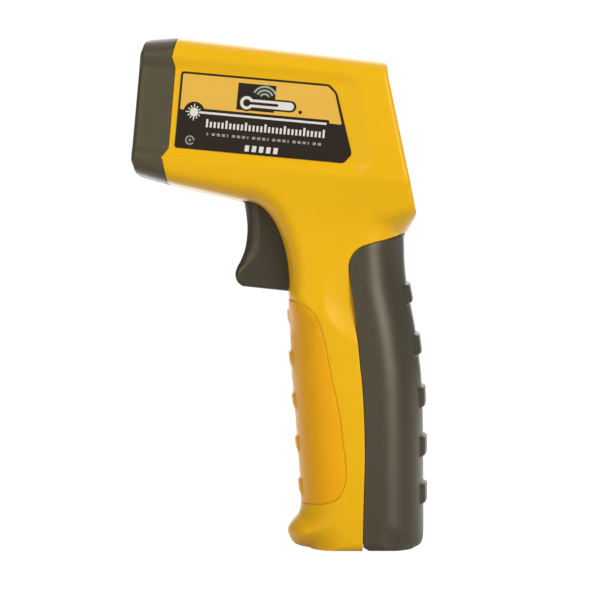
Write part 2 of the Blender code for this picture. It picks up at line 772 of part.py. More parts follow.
# -------------------------------------------------------------- the trigger
def trigger():
    px, pz = TRIGGER_PIVOT
    eye = [(px + 3.0 * math.cos(math.radians(a)), pz + 3.0 * math.sin(math.radians(a)))
           for a in (170, 135, 100, 65, 30, 0)]
    front = [(-35.0, 80.3), (-36.8, 81.5), (-37.5, 83.5), (-37.2, 85.6), (-35.7, 88.4),
             (-34.5, 92.1), (-33.9, 97.0), (-34.3, 101.5), (-35.0, 105.8), (-34.3, 108.2)]
    back = [(-25.2, 106.0), (-22.0, 102.4), (-21.9, 98.6), (-20.4, 95.0), (-19.6, 91.6),
            (-19.1, 86.0), (-18.7, 80.8), (-21.4, 78.8)]
    body = prism("trigger", front + eye + back, -TRIGGER_HALF, TRIGGER_HALF)
    work = bmesh.new()
    work.from_mesh(body.data)
    rim = [e for e in work.edges if abs(e.verts[0].co.y - e.verts[1].co.y) < 0.01
           and max(v.co.z for v in e.verts) < 102 and max(v.co.x for v in e.verts) < -33.0]
    bmesh.ops.bevel(work, geom=rim, offset=2.2, segments=FILLET_SEGMENTS, affect="EDGES",
                    profile=0.5, clamp_overlap=True)
    work.to_mesh(body.data)
    work.free()
    cut(body, rod("t", across(px, pz), TRIGGER_PIN_R + GAP, -10, 10, 20))
    return body


def trigger_spring():
    """A compression spring between the trigger and the rib behind it."""
    turns, per, radius = 5, 10, 2.0
    start, end = -18.7, -12.0
    points = []
    for k in range(turns * per + 1):
        angle = 2 * math.pi * k / per
        share = k / (turns * per)
        points.append((start + (end - start) * share, radius * math.cos(angle),
                       91.6 + radius * math.sin(angle)))
    return wire("trigger_spring", points, 0.3, 4)


def switch_parts():
    place = frame_of((0, 0, 100.5), Vector((0, 1, 0)), Vector((0, 0, 1)), Vector((1, 0, 0)))
    body = block("trigger_switch", Matrix(), (-17.6, -3.2, 97.2), (-9.6, 3.2, 104.0), 0.3, 1)
    cut(body, rod("t", place, 1.4, -19.0, -12.6, 16))
    board = block("switch_board", Matrix(), (-9.3, -8.0, 97.0), (-8.1, 8.0, 111.0))
    plunger = rod("switch_plunger", place, 1.1, -21.35, -14.5, 16)
    return body, board, plunger


# ------------------------------------------------------- optics in the barrel
def optics():
    lens_axis, laser_axis = barrel(LENS_W), barrel(LASER_W)
    tube_part = turned("lens_tube", lens_axis, [(7.6, 24.0), (7.6, 7.5), (9.3, 7.5), (9.3, 3.2),
                                                (10.1, 3.2), (10.1, 24.0)], 32)
    ring = turned("lens_retaining_ring", lens_axis, [(7.0, 3.5), (8.9, 3.5), (8.9, 5.2),
                                                     (7.4, 5.2)], 32)
    lens = turned("ir_lens", lens_axis, [(0, 4.9), (3.5, 5.05), (6.9, 5.5), (8.9, 5.6), (8.9, 6.9),
                                         (0, 6.9)], 32)
    sensor = turned("thermopile_sensor", lens_axis, [(0, 19.0), (4.0, 19.0), (4.5, 19.5),
                                                     (4.5, 23.3), (5.2, 23.3), (5.2, 24.0),
                                                     (0, 24.0)], 24)
    board = block("sensor_board", lens_axis, (-10.5, -9.0, 24.4), (10.5, 9.5, 25.6))
    laser = turned("laser_module", laser_axis, [(1.4, 6.0), (1.4, 3.4), (3.2, 3.4), (3.2, 17.0),
                                                (0, 17.0), (0, 6.0)], 24)
    window = rod("laser_window", laser_axis, LASER_OPENING - GAP, 0.6, 1.6, 24)
    return tube_part, ring, lens, sensor, board, laser, window


# --------------------------------------------- display and keys at the back
BUTTONS = (("button_left", -10.2), ("button_mode", 0.0), ("button_right", 10.2))
BUTTON_UP = -11.4
BUTTON_HALF = (3.6, 2.6)
BUTTON_TOP = -0.05          # a little proud of the frame, not of the housing
DISPLAY_UP = 6.4
DISPLAY_HALF = (14.0, 9.0)


def display():
    bezel = rounded_plate("display_bezel", rear(-0.3), 17.5, 18.7, 2.7, -2.1, -0.4)
    hole = rounded_plate("t", rear(DISPLAY_UP), *DISPLAY_HALF, 1.2, -5, 5, 3)
    cut(bezel, hole)
    window = rounded_plate("lcd_window", rear(DISPLAY_UP), DISPLAY_HALF[0] - GAP,
                           DISPLAY_HALF[1] - GAP, 1.0, -1.8, -0.7, 3)
    module = block("lcd_module", rear(DISPLAY_UP), (-15.8, -10.4, -4.9), (15.8, 10.2, -2.4),
                   0.3, 1)
    mat = rounded_plate("keypad_mat", rear(BUTTON_UP), 16.0, 4.6, 1.0, -5.5, -4.7, 2)
    board = block("main_board", rear(), (-17.0, -17.6, -7.0), (17.0, 17.6, -5.8))
    chip = block("main_chip", rear(4.0, -3.0), (-5.0, -5.0, -8.8), (5.0, 5.0, -7.3), 0.2, 1)
    buzzer = rod("buzzer", rear(-8.5, 8.0), 6.0, -12.6, -7.3, 28)
    made = [bezel, window, module, mat, board, chip, buzzer]
    for name, aside in BUTTONS:
        place = rear(BUTTON_UP, aside)
        cut(bezel, rounded_plate("t", place, BUTTON_HALF[0] + GAP, BUTTON_HALF[1] + GAP, 1.9,
                                 -5, 5, 4))
        cap = rounded_plate(name, place, *BUTTON_HALF, 1.6, -2.7, BUTTON_TOP, 4)
        flange = rounded_plate("t", place, BUTTON_HALF[0] + 0.9, BUTTON_HALF[1] + 0.9, 1.8,
                               -3.5, -2.5, 4)
        made.append(join(cap, flange))
    return made


# ------------------------------------------------------- battery in the grip
def battery_parts():
    place = handle()
    bx, by, bz = (size / 2 for size in BATTERY)
    cell = block("battery", place, (-bx, -by, -bz), (bx, by, bz), 1.4, 2)
    tray = block("battery_tray", place, (-11.0, -by - 1.4, -bz - 1.4),
                 (11.0, by + 1.4, bz - 3.0))
    cut(tray, block("t", place, (-14.0, -by - GAP, -bz - GAP), (14.0, by + GAP, bz + 5.0)))
    snap = block("battery_snap", place, (-12.4, -7.4, bz + 0.4), (12.4, 7.4, bz + 3.6), 0.6, 1)
    top = place @ Vector((0, 0, bz + 3.9))
    leads = []
    for name, lean, far in (("battery_lead_red", -2.6, -5.0), ("battery_lead_black", 2.6, 5.0)):
        route = [(top.x + 5.0, lean, top.z), (top.x + 5.0, lean, top.z + 5.0),
                 (top.x + 7.0, 0.8 * far, top.z + 14.0), (7.6, far, 90.0), (8.3, far, 98.0),
                 (8.0, far, 104.4)]
        leads.append(wire(name, curve_through(route, 5), 0.7, 6))
    return [cell, tray, snap, *leads]


def fasteners():
    made = []
    for index, (x, z) in enumerate(SCREWS):
        head = surface(x, z) - HEAD_SINK
        profile = [(0, -8.5), (0.5, -8.5), (SHANK_R, -7.0), (SHANK_R, head), (HEAD_R, head),
                   (HEAD_R, head + 1.2), (1.6, head + 1.8), (0, head + 1.8)]
        made.append(turned(f"housing_screw_{index + 1}", across(x, z), profile, 16))
    x, z = TRIGGER_PIVOT
    made.append(rod("trigger_pin", across(x, z), TRIGGER_PIN_R, -8.8, 8.8, 20))
    x, z = DOOR_PIVOT
    made.append(rod("battery_door_pin", across(x, z), DOOR_PIN_R,
                    -DOOR_PIN_REACH, DOOR_PIN_REACH, 12))
    return made


# ------------------------------------------------------------------ assembly
FINISHES = {
    "yellow_housing": ((0.81, 0.45, 0.015), 0.38),
    "yellow_door": ((0.76, 0.38, 0.012), 0.45),
    "charcoal_cap": ((0.085, 0.077, 0.058), 0.5),
    "charcoal_grip": ((0.055, 0.049, 0.035), 0.55),
    "charcoal_trigger": ((0.05, 0.044, 0.033), 0.42),
    "printed_label": ((0.62, 0.33, 0.06), 0.35),
    "display_frame": ((0.04, 0.04, 0.04), 0.4),
    "clear_window": ((0.85, 0.88, 0.88), 0.05),
    "lcd_glass": ((0.38, 0.45, 0.36), 0.2),
    "key_rubber": ((0.12, 0.12, 0.12), 0.6),
    "key_accent": ((0.55, 0.28, 0.03), 0.5),
    "lens_plastic": ((0.75, 0.76, 0.74), 0.25),
    "circuit_board": ((0.02, 0.16, 0.06), 0.45),
    "black_plastic": ((0.03, 0.03, 0.03), 0.45),
    "battery_wrap": ((0.12, 0.13, 0.15), 0.35),
    "lead_red": ((0.5, 0.02, 0.02), 0.5),
    "lead_black": ((0.02, 0.02, 0.02), 0.5),
}
METAL = 1.0                 # metallic value of the bare metals
METALS = {
    "bright_steel": ((0.62, 0.62, 0.62), 0.3),
    "brass_barrel": ((0.72, 0.52, 0.2), 0.3),
    "tube_aluminium": ((0.7, 0.7, 0.7), 0.4),
}
SLOTS = {
    "housing_left": "yellow_housing", "housing_right": "yellow_housing",
    "battery_door": "yellow_door", "nose_cap": "charcoal_cap",
    "rear_grip": "charcoal_grip", "trigger": "charcoal_trigger",
    "trigger_spring": "bright_steel", "trigger_switch": "black_plastic",
    "switch_board": "circuit_board", "switch_plunger": "key_accent",
    "lens_tube": "tube_aluminium", "lens_retaining_ring": "black_plastic",
    "ir_lens": "lens_plastic", "thermopile_sensor": "bright_steel",
    "sensor_board": "circuit_board", "laser_module": "brass_barrel",
    "laser_window": "clear_window", "display_bezel": "display_frame",
    "lcd_window": "clear_window", "lcd_module": "lcd_glass", "keypad_mat": "key_rubber",
    "main_board": "circuit_board", "main_chip": "black_plastic",
    "buzzer": "black_plastic", "button_left": "key_rubber", "button_mode": "key_accent",
    "button_right": "key_rubber", "battery": "battery_wrap",
    "battery_tray": "black_plastic", "battery_snap": "black_plastic",
    "battery_lead_red": "lead_red", "battery_lead_black": "lead_black",
    "label_left": "printed_label", "label_right": "printed_label",
}
PIVOTS = {
    "trigger": (TRIGGER_PIVOT[0], 0, TRIGGER_PIVOT[1]),
    "battery_door": (DOOR_PIVOT[0], 0, DOOR_PIVOT[1]),
    "switch_plunger": (-18.0, 0, 100.5),
}


def finish(made, finishes):
    """Scales a piece to metres, sets its origin and gives it its material."""
    datum = Vector((SIDE_DATUM[0], 0, SIDE_DATUM[1]))
    pivot = Vector(PIVOTS.get(made.name, datum))
    if made.name.startswith("button_"):
        aside = dict(BUTTONS)[made.name]
        pivot = rear(BUTTON_UP, aside).translation
    made.data.transform(Matrix.Scale(MM, 4) @ Matrix.Translation(-pivot))
    made.location = (pivot - datum) * MM
    made.data.materials.clear()
    made.data.materials.append(finishes[SLOTS.get(made.name, "bright_steel")])
    made.data.shade_smooth()
    made.data.set_sharp_from_angle(angle=math.radians(32))


def main():
    for old in list(bpy.data.objects):
        bpy.data.objects.remove(old)
    skin, nose, door, grip = build_shell()
    housing_halves(skin)
    finish_door(door)
    trigger()
    trigger_spring()
    switch_parts()
    optics()
    display()
    battery_parts()
    fasteners()
    for name, side in (("label_left", -1), ("label_right", 1)):
        sheet(name, LABEL, side, PAD_DEPTH - 2 * GAP, PAD_DEPTH - GAP)
    finishes = {name: material(name, *look) for name, look in FINISHES.items()}
    finishes.update({name: material(name, *look, METAL) for name, look in METALS.items()})
    for made in list(bpy.context.scene.collection.objects):
        finish(made, finishes)


main()
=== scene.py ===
"""Looks of the pistol-type infrared thermometer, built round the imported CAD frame.

Side views are drawn in millimetres like the CAD's own drawing: x runs back along
the instrument, z runs up and y is across it. ORIGIN is the drawing's point at the
frame's origin. Every outside surface is one height function y = +-H(x, z), cut into
pieces along the seams, so that neighbours always meet flush."""

import math

import bmesh
import bpy
import numpy as np
from mathutils import Matrix, Vector, geometry


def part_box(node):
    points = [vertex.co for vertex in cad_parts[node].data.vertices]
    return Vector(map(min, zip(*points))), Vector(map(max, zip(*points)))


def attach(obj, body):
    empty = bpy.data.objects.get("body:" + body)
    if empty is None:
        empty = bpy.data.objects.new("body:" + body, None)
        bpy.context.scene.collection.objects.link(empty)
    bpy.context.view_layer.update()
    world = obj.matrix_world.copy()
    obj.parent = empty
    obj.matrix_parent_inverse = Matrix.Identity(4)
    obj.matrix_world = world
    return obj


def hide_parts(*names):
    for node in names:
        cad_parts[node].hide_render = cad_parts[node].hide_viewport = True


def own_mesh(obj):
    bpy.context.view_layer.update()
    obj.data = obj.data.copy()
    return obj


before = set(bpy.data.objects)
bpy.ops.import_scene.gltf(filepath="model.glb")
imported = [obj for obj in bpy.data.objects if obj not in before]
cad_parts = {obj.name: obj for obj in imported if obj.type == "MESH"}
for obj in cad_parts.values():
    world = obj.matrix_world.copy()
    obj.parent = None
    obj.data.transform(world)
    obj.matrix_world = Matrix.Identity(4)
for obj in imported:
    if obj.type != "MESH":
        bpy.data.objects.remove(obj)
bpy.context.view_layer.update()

# ---- dimensions
MM = 0.001
BASE_Z = 0.3
ORIGIN = np.array((-23.8, 0.0, BASE_Z))

BARREL_TILT = math.radians(7.0)
REAR_TILT = math.radians(11.95)
HALF_NOSE, HALF_REAR, HALF_GRIP = 18.3, 21.5, 16.5
HEAD_FRONT, HEAD_LENGTH = -68.0, 76.0       # over which the head widens
RIDGE, RIDGE_SLOPE, NECK_Z = (-0.3, 112.9), 0.101, 92.0     # between them the neck flares
PAD_DEPTH = 1.2
PAD_RAMPS = (3.0, 3.0, 3.0, 6.0, 3.0, 3.0)      # along the sides of PAD_OUTER, clockwise
SCOOP_CENTRE, SCOOP_RADIUS, SCOOP_RISE, SCOOP_DEPTH = (3.0, 77.0), 14.0, 30.0, 1.5
SCOOP_SLOPE, SCOOP_TOP, SCOOP_FADE = 9.5, 94.0, 22.0
SKIN = 1.3                  # wall thickness of the visible shells
# beside each seam: half its gap, then the width and depth of the rounded lip
SEAMS = {"nose": (0.08, 0.28, 0.18), "door": (0.04, 0.80, 0.20), "grip": (0.08, 0.42, 0.30),
         "middle": (0.05, 0.42, 0.30)}
TONGUE_REACH = 1.7          # of the housing's tongue to either side of a seam
SPACING = 1.25              # of the mesh's points away from edges

LENS_W, LASER_W = -4.2, 10.2                # the two axes' levels on the nose face
LENS_MOUTH, LASER_MOUTH = 8.9, 3.2
NOSE_FACE = Vector((-67.35, 0, 134.0))
REAR_FACE = Vector((12.8, 0, 122.05))
TRIGGER_HALF = 6.9
SLOT_HALF = 7.4
EDGE_RUN, EDGE_DEPTH = 13.0, 16.1           # rounding of the grip's front and back edges
FLANGE_SINK, FLANGE_SKIN = 0.12, 0.7        # gap below the skins, and the flange's own wall
BAR_SUNK, BAR_ROOT = 0.06, 0.7              # the raised bars' edge and foot, below the surface
SCREW_SUNK = 3.6                            # the screw heads' seat, below the surface
SCREWS = [(-41.0, 114.5), (-13.0, 134.0), (3.0, 101.0), (-7.5, 82.5), (-9.0, 8.2)]

TOP_LINE = [(-63.7, 154.7), (-54.9, 155.4), (7.9, 147.8)]
NOSE_LINE = [(-67.5, 114.3), (-68.8, 118.0), (-68.73, 119.5), (-66.05, 149.4),
             (-65.9, 150.2), (-64.9, 152.8), (-63.7, 154.7)]
REAR_LINE = [(7.9, 147.8), (8.5, 142.6), (17.1, 101.5)]
UNDER_LINE = [(-34.2, 106.0), (-58.2, 111.6), (-67.5, 114.3)]
GRIP_BACK = [(13.9, 95.4), (14.1, 87.7), (14.8, 80.6), (16.2, 73.5), (17.4, 67.1),
             (18.6, 58.3), (19.3, 51.2), (19.8, 37.6), (19.9, 22.3), (19.9, 6.9),
             (19.7, 3.2), (18.8, 1.2), (17.0, BASE_Z)]
GRIP_FRONT = [(-18.5, 10.9), (-17.9, 13.5), (-18.0, 20.0), (-18.7, 29.1), (-19.5, 40.4),
              (-20.6, 53.6), (-21.1, 65.9), (-21.5, 76.0), (-21.4, 80.0)]
TOE = [(-15.2, BASE_Z), (-18.4, 0.9), (-20.2, 2.0), (-21.3, 3.9), (-21.8, 6.0), (-20.5, 8.6),
       (-18.5, 10.9)]
ARC_CENTRE, ARC_AXES = (-34.2, 80.0), (13.0, 26.0)
PAD_OUTER = [(-80.0, 150.2), (-56.5, 148.7), (-3.0, 143.6), (0.3, 138.4),
             (3.9, 117.7), (-0.3, 112.9), (-59.6, 118.9), (-80.0, 120.2)]
NOSE_SEAM = [(-54.5, 160.0), (-54.9, 155.4), (-56.5, 148.7), (-55.5, 145.7),
             (-57.5, 121.8), (-59.6, 118.9), (-59.0, 116.0), (-58.2, 111.6), (-57.6, 107.0)]
DOOR_SEAM = [(-26.0, 78.2), (-21.8, 77.0), (-20.0, 75.7), (-17.7, 74.6), (-15.4, 73.4),
             (-13.5, 71.1), (-12.1, 67.9), (-10.8, 63.8), (-9.8, 59.1), (-8.5, 52.2),
             (-7.1, 46.2), (-5.9, 39.9), (-5.2, 33.7), (-4.3, 26.4), (-4.2, 21.7),
             (-5.2, 18.4), (-6.6, 16.2), (-9.5, 14.8), (-12.4, 14.3), (-16.4, 14.2),
             (-26.0, 14.0)]
GRIP_SEAM = [(24.0, 99.4), (13.9, 96.2), (9.2, 94.5), (2.3, 92.6), (-0.1, 91.6),
             (-1.8, 90.1), (-2.9, 88.0), (-3.2, 85.2), (-2.2, 75.9), (-1.0, 67.3),
             (0.1, 56.9), (1.1, 45.9), (1.6, 30.1), (1.3, 17.3), (0.9, BASE_Z), (0.8, -6.0)]
CORNERS = {"nose": [(-85.0, 107.0), (-85.0, 160.0)], "door": [(-40.0, 14.0), (-40.0, 78.2)],
           "grip": [(40.0, -6.0), (40.0, 99.4)]}       # closing each seam to an area
GRIP_AREA = GRIP_SEAM + CORNERS["grip"]
NOTCH = [(1.05, 1.6), (2.9, BASE_Z)]        # in the base, between the housing and the grip
NOTCH_AREA = NOTCH + [(0.5, BASE_Z), (0.5, 1.6)]
SEAM_FOOT = 0.82                            # where the housing stops beside the notch
BACK_BARS = [(81.8, 75.4), (66.5, 59.7), (50.5, 43.8), (35.5, 29.0), (21.0, 14.6)]
FRONT_BAR_FIRST, FRONT_BAR_PITCH = 19.3, 12.95


# ---- plane geometry
def smooth_line(points, step):
    """A Catmull-Rom curve through the points, sampled about every step."""
    ends = [points[0], *points, points[-1]]
    made = []
    for quad in zip(ends, ends[1:], ends[2:], ends[3:]):
        p0, p1, p2, p3 = (np.array(p, float) for p in quad)
        count = max(int(np.linalg.norm(p2 - p1) / step), 1)
        for k in range(count):
            t = k / count
            made.append(0.5 * (2 * p1 + (p2 - p0) * t + (2 * p0 - 5 * p1 + 4 * p2 - p3) * t * t
                               + (3 * p1 - p0 - 3 * p2 + p3) * t ** 3))
    made.append(np.array(points[-1], float))
    return [tuple(p) for p in made]


def straight_line(points, step=1.0):
    """The open line with its sides cut into lengths of about step."""
    made = []
    for a, b in zip(points, points[1:]):
        count = max(round(math.dist(a, b) / step), 1)
        made += [(a[0] + (b[0] - a[0]) * k / count, a[1] + (b[1] - a[1]) * k / count)
                 for k in range(count)]
    return made + [points[-1]]


def fillet(points, radius, steps=4):
    """The closed polygon with every corner replaced by an arc-like curve."""
    made = []
    for i, corner in enumerate(points):
        here = np.array(corner, float)
        before = np.array(points[i - 1], float) - here
        after = np.array(points[(i + 1) % len(points)], float) - here
        back = min(radius, 0.45 * np.linalg.norm(before), 0.45 * np.linalg.norm(after))
        start = here + before / np.linalg.norm(before) * back
        end = here + after / np.linalg.norm(after) * back
        for k in range(steps + 1):
            t = k / steps
            made.append(tuple((1 - t) ** 2 * start + 2 * t * (1 - t) * here + t * t * end))
    return made


def nearest(line, points):
    """Distance, segment number and share along it of the nearest place on an open line."""
    line = np.asarray(line, float)[:, :2]
    points = np.asarray(points, float)
    a, d = line[:-1], line[1:] - line[:-1]
    length = np.maximum((d ** 2).sum(1), 1e-12)
    best = np.full(len(points), 1e9)
    which = np.zeros(len(points), int)
    share = np.zeros(len(points))
    for i in range(len(d)):
        rel = points - a[i]
        t = np.clip((rel @ d[i]) / length[i], 0, 1)
        away = np.hypot(*(rel - t[:, None] * d[i]).T)
        closer = away < best
        best[closer], which[closer], share[closer] = away[closer], i, t[closer]
    return best, which, share


def inside(polygon, points):
    points = np.asarray(points, float)
    x, z = points[:, 0], points[:, 1]
    hit = np.zeros(len(points), bool)
    for (ax, az), (bx, bz) in zip(polygon, list(polygon[1:]) + [polygon[0]]):
        if az == bz:
            continue
        crosses = ((az > z) != (bz > z)) & (x < ax + (bx - ax) * (z - az) / (bz - az))
        hit ^= crosses
    return hit


def arc(centre, radii, start, end, steps):
    """Points round an ellipse's centre between two angles in degrees."""
    turns = [math.radians(start + (end - start) * k / steps) for k in range(steps + 1)]
    return [(centre[0] + radii[0] * math.cos(a), centre[1] + radii[1] * math.sin(a))
            for a in turns]


def disc(u, v, r, sides=28):
    return arc((u, v), (r, r), 0, 360, sides)[:-1]


def winding(ring):
    """1 for a ring drawn anticlockwise, -1 for a clockwise one."""
    after = np.roll(ring, -1, axis=0)
    return 1 if (ring[:, 0] * after[:, 1] - after[:, 0] * ring[:, 1]).sum() > 0 else -1


def left_of(vectors):
    """Unit vectors to the left of the given ones."""
    return np.stack([-vectors[:, 1], vectors[:, 0]], 1) / np.linalg.norm(vectors, axis=1)[:, None]


def shifted(line, distance):
    """An open line moved sideways: to its left for a positive distance."""
    line = np.asarray(line, float)
    return line + left_of(np.gradient(line, axis=0)) * distance


def smoothstep(t):
    t = np.clip(t, 0, 1)
    return t * t * (3 - 2 * t)


# ---- side outline
BACK_CURVE, FRONT_CURVE = smooth_line(GRIP_BACK, 1.0), smooth_line(GRIP_FRONT, 1.0)
TOE_CURVE = smooth_line(TOE, 0.6)
ARC_CURVE = arc(ARC_CENTRE, ARC_AXES, 0, 90, 22)


def side_outline():
    """The closed side outline of the body, without the trigger or the bars."""
    runs = (straight_line(TOP_LINE), straight_line(REAR_LINE),
            straight_line([REAR_LINE[-1], GRIP_BACK[0]]), BACK_CURVE,
            straight_line([GRIP_BACK[-1], TOE[0]]), TOE_CURVE, FRONT_CURVE, ARC_CURVE,
            straight_line(UNDER_LINE), straight_line(NOSE_LINE))
    return [p for run in runs for p in run[:-1]]


def rounding_groups():
    """Stretches of the outline as rows (x, z, run, depth): the edge rounding starts
    run millimetres inside the outline and takes depth off the half-width."""
    back = [(17.1, 101.5, 4.5, 5.5)]
    back += [(x, z, EDGE_RUN, EDGE_DEPTH) for x, z in BACK_CURVE]
    front = [(x, z, EDGE_RUN, EDGE_DEPTH) for x, z in TOE_CURVE]
    for x, z in FRONT_CURVE:
        share = float(smoothstep((z - 66.0) / 11.0))
        front.append((x, z, EDGE_RUN - 7.5 * share, EDGE_DEPTH - 7.5 * share))
    front += [(x, z, 5.5, 8.6) for x, z in ARC_CURVE]
    front += [(x, z, 4.0, 6.0) for x, z in UNDER_LINE[1:]]
    rows = [[(x, z, 5.2, 9.0) for x, z in TOP_LINE],
            [(x, z, 2.0, 2.0) for x, z in NOSE_LINE],
            [(x, z, 1.5, 1.5) for x, z in REAR_LINE],
            [(GRIP_BACK[-1][0], BASE_Z, 2.6, 2.6), (TOE[0][0], BASE_Z, 2.6, 2.6)],
            back, front]
    return [np.array(group, float) for group in rows]


def rounding(groups, points):
    """How far the rounded edges take the side surface in from its half-width."""
    most = np.zeros(len(points))
    for group in groups:
        away, i, share = nearest(group, points)
        run, depth = (group[i, 2:] + share[:, None] * (group[i + 1, 2:] - group[i, 2:])).T
        part = np.clip(away / run, 0, 1)
        most = np.maximum(most, depth * (1 - np.sqrt(1 - (1 - part) ** 2)))
    return most


def half_width(points):
    """Half-width of the plain side surface: the head above, the grip below."""
    x, z = np.asarray(points, float).T
    along = np.clip((x - HEAD_FRONT) / HEAD_LENGTH, 0, 1)
    head = HALF_NOSE + along * (HALF_REAR - HALF_NOSE)
    ridge = RIDGE[1] - RIDGE_SLOPE * (x - RIDGE[0])
    rise = np.clip((z - NECK_Z) / (ridge - NECK_Z), 0, 1)
    share = 0.25 * smoothstep(rise) + 0.75 * rise ** 1.9
    return HALF_GRIP + share * (head - HALF_GRIP)


def soft_ramp(distance, ramp, blur=0.5):
    """0 to 1 over the ramp, with both of its corners eased by blur."""
    def eased(t):
        return np.where(t < -blur, 0.0, np.where(t > blur, t, (t + blur) ** 2 / (4 * blur)))
    return (eased(distance) - eased(distance - ramp)) / ramp


def pad(points):
    """Depth of the recess for the label: a ramp from each side of its border."""
    depth = np.ones(len(points))
    for a, b, ramp in zip(np.array(PAD_OUTER), np.array(PAD_OUTER)[1:], PAD_RAMPS):
        along = (b - a) / np.linalg.norm(b - a)
        away = (np.asarray(points, float) - a) @ np.array((along[1], -along[0]))
        depth = np.minimum(depth, soft_ramp(away, ramp, 0.25 if ramp < 4 else 1.5))
    return PAD_DEPTH * depth


def scoop(points):
    """Depth of the thumb rest beside the rear grip: a dish that runs out upward."""
    x, z = np.asarray(points, float).T
    reach = np.where(z > SCOOP_CENTRE[1], SCOOP_RISE, SCOOP_RADIUS)
    away = np.hypot((x - SCOOP_CENTRE[0]) / SCOOP_RADIUS, (z - SCOOP_CENTRE[1]) / reach)
    slope = np.sin(math.pi / 2 * np.clip((1 - away) * SCOOP_RADIUS / SCOOP_SLOPE, 0, 1))
    depth = SCOOP_DEPTH * slope * smoothstep((SCOOP_TOP - z) / SCOOP_FADE)
    return np.where(inside(GRIP_AREA, points), 0.0, depth)


GROUPS = rounding_groups()


def body_height(points):
    plain = half_width(points) - pad(points) - scoop(points)
    return np.maximum(plain - rounding(GROUPS, points), 0.4)


# ---- triangulated sheet
def thinned(points, others, gap):
    """The points that keep their distance from the others and from each other."""
    cells = {}

    def key(p):
        return (int(math.floor(p[0] / gap)), int(math.floor(p[1] / gap)))

    for p in others:
        cells.setdefault(key(p), []).append(p)
    kept = []
    for p in points:
        i, j = key(p)
        near = (q for a in (-1, 0, 1) for b in (-1, 0, 1) for q in cells.get((i + a, j + b), ()))
        if all(math.dist(p, q) > gap for q in near):
            kept.append(p)
            cells.setdefault((i, j), []).append(p)
    return kept


def triangles_of(points, constraints, rim):
    """Triangles inside the outline of the first points that keep to the constraints."""
    made = geometry.delaunay_2d_cdt([Vector(p) for p in points], constraints,
                                    [list(range(rim))], 1, 1e-5)
    return np.array([tuple(p) for p in made[0]]), [tuple(f) for f in made[2]]


def triangulate(edge, rows, lines, spacing):
    """Points and triangles of a closed outline: rows follow it inward, lines are
    open polylines that the triangles keep to, and the rest is an even grid."""
    edge = [tuple(p) for p in edge]
    ring = np.array(edge + edge[:1])
    tangent = ring[1:] - ring[:-1]
    tangent = tangent + np.roll(tangent, 1, axis=0)
    inward = left_of(tangent) * winding(ring[:-1])
    fixed = [tuple(p) for line in lines for p in line]
    points, constraints = list(edge), []
    for line in lines:
        first = len(points)
        points += [tuple(p) for p in line]
        constraints += [(first + i, first + i + 1) for i in range(len(line) - 1)]
    for away in rows:
        moved = np.array(edge) + inward * away
        good = inside(edge, moved) & (nearest(ring, moved)[0] > 0.93 * away)
        moved = [tuple(p) for p in moved[good]]
        moved = thinned(moved, fixed, max(0.25, min(0.5 * away, 0.5)))
        points += thinned(moved, [], min(0.45 * away + 0.05, 0.8))
    low, high = ring.min(0), ring.max(0)
    grid = np.array([(x, z) for j, z in enumerate(np.arange(low[1], high[1], spacing * 0.866))
                     for x in np.arange(low[0] + (j % 2) * spacing / 2, high[0], spacing)])
    grid = grid[inside(edge, grid)]
    grid = grid[nearest(ring, grid)[0] > rows[-1] + 0.45 * spacing]
    points += thinned([tuple(p) for p in grid], fixed, 0.5 * spacing)
    return triangles_of(points, constraints, len(edge))


def seam_rows(line, name):
    """Lines beside a seam: the edges of its gap, the rows of its rounded lip and the
    reach of the tongue under it."""
    half_gap, lip, _ = SEAMS[name]
    made = []
    for away in (half_gap, half_gap + 0.14 * lip, half_gap + 0.4 * lip, half_gap + lip,
                 TONGUE_REACH):
        for row in (shifted(line, away), shifted(line, -away)):
            made.append(row[nearest(line, row)[0] > 0.97 * away])     # no loops in tight corners
    return made


def lip_drop(away, name):
    """How far the lip falls below the surface at a distance from the seam."""
    half_gap, lip, depth = SEAMS[name]
    part = np.clip((away - half_gap) / lip, 0, 1)
    return depth * (1 - np.sqrt(np.clip(1 - (1 - part) ** 3, 0, 1)))


# ---- mesh helpers
def to_frame(points):
    return (np.asarray(points, float) - ORIGIN) * MM


def placed(name, data):
    made = bpy.data.objects.new(name, data)
    bpy.context.scene.collection.objects.link(made)
    return made


def link(name, verts, faces):
    """A new object from drawing millimetres."""
    mesh = bpy.data.meshes.new(name)
    mesh.from_pydata([tuple(v) for v in verts], [], faces)
    mesh.validate()
    return placed(name, mesh)


def edit(made, change):
    work = bmesh.new()
    work.from_mesh(made.data)
    change(work)
    work.to_mesh(made.data)
    work.free()
    return made


def outward(made):
    def change(work):
        bmesh.ops.recalc_face_normals(work, faces=work.faces)
        if work.calc_volume(signed=True) < 0:
            bmesh.ops.reverse_faces(work, faces=work.faces)
    return edit(made, change)


def applied(made):
    graph = bpy.context.evaluated_depsgraph_get()
    mesh = bpy.data.meshes.new_from_object(made.evaluated_get(graph))
    made.modifiers.clear()
    made.data = mesh
    return made


def thicken(made, thickness):
    solid = made.modifiers.new("solid", "SOLIDIFY")
    solid.thickness = thickness
    solid.offset = -1
    solid.use_rim = True
    return applied(made)


def boolean(made, tools, operation="DIFFERENCE"):
    for tool in tools:
        step = made.modifiers.new("step", "BOOLEAN")
        step.operation = operation
        step.solver = "MANIFOLD"
        step.object = tool
        applied(made).data.materials.clear()
        bpy.data.objects.remove(tool)
    return made


def open_edges(faces):
    """The directed edges that belong to one face only."""
    uses = {}
    for face in faces:
        for a, b in zip(face, face[1:] + face[:1]):
            uses.setdefault((min(a, b), max(a, b)), []).append((a, b))
    return [pair[0] for pair in uses.values() if len(pair) == 1]


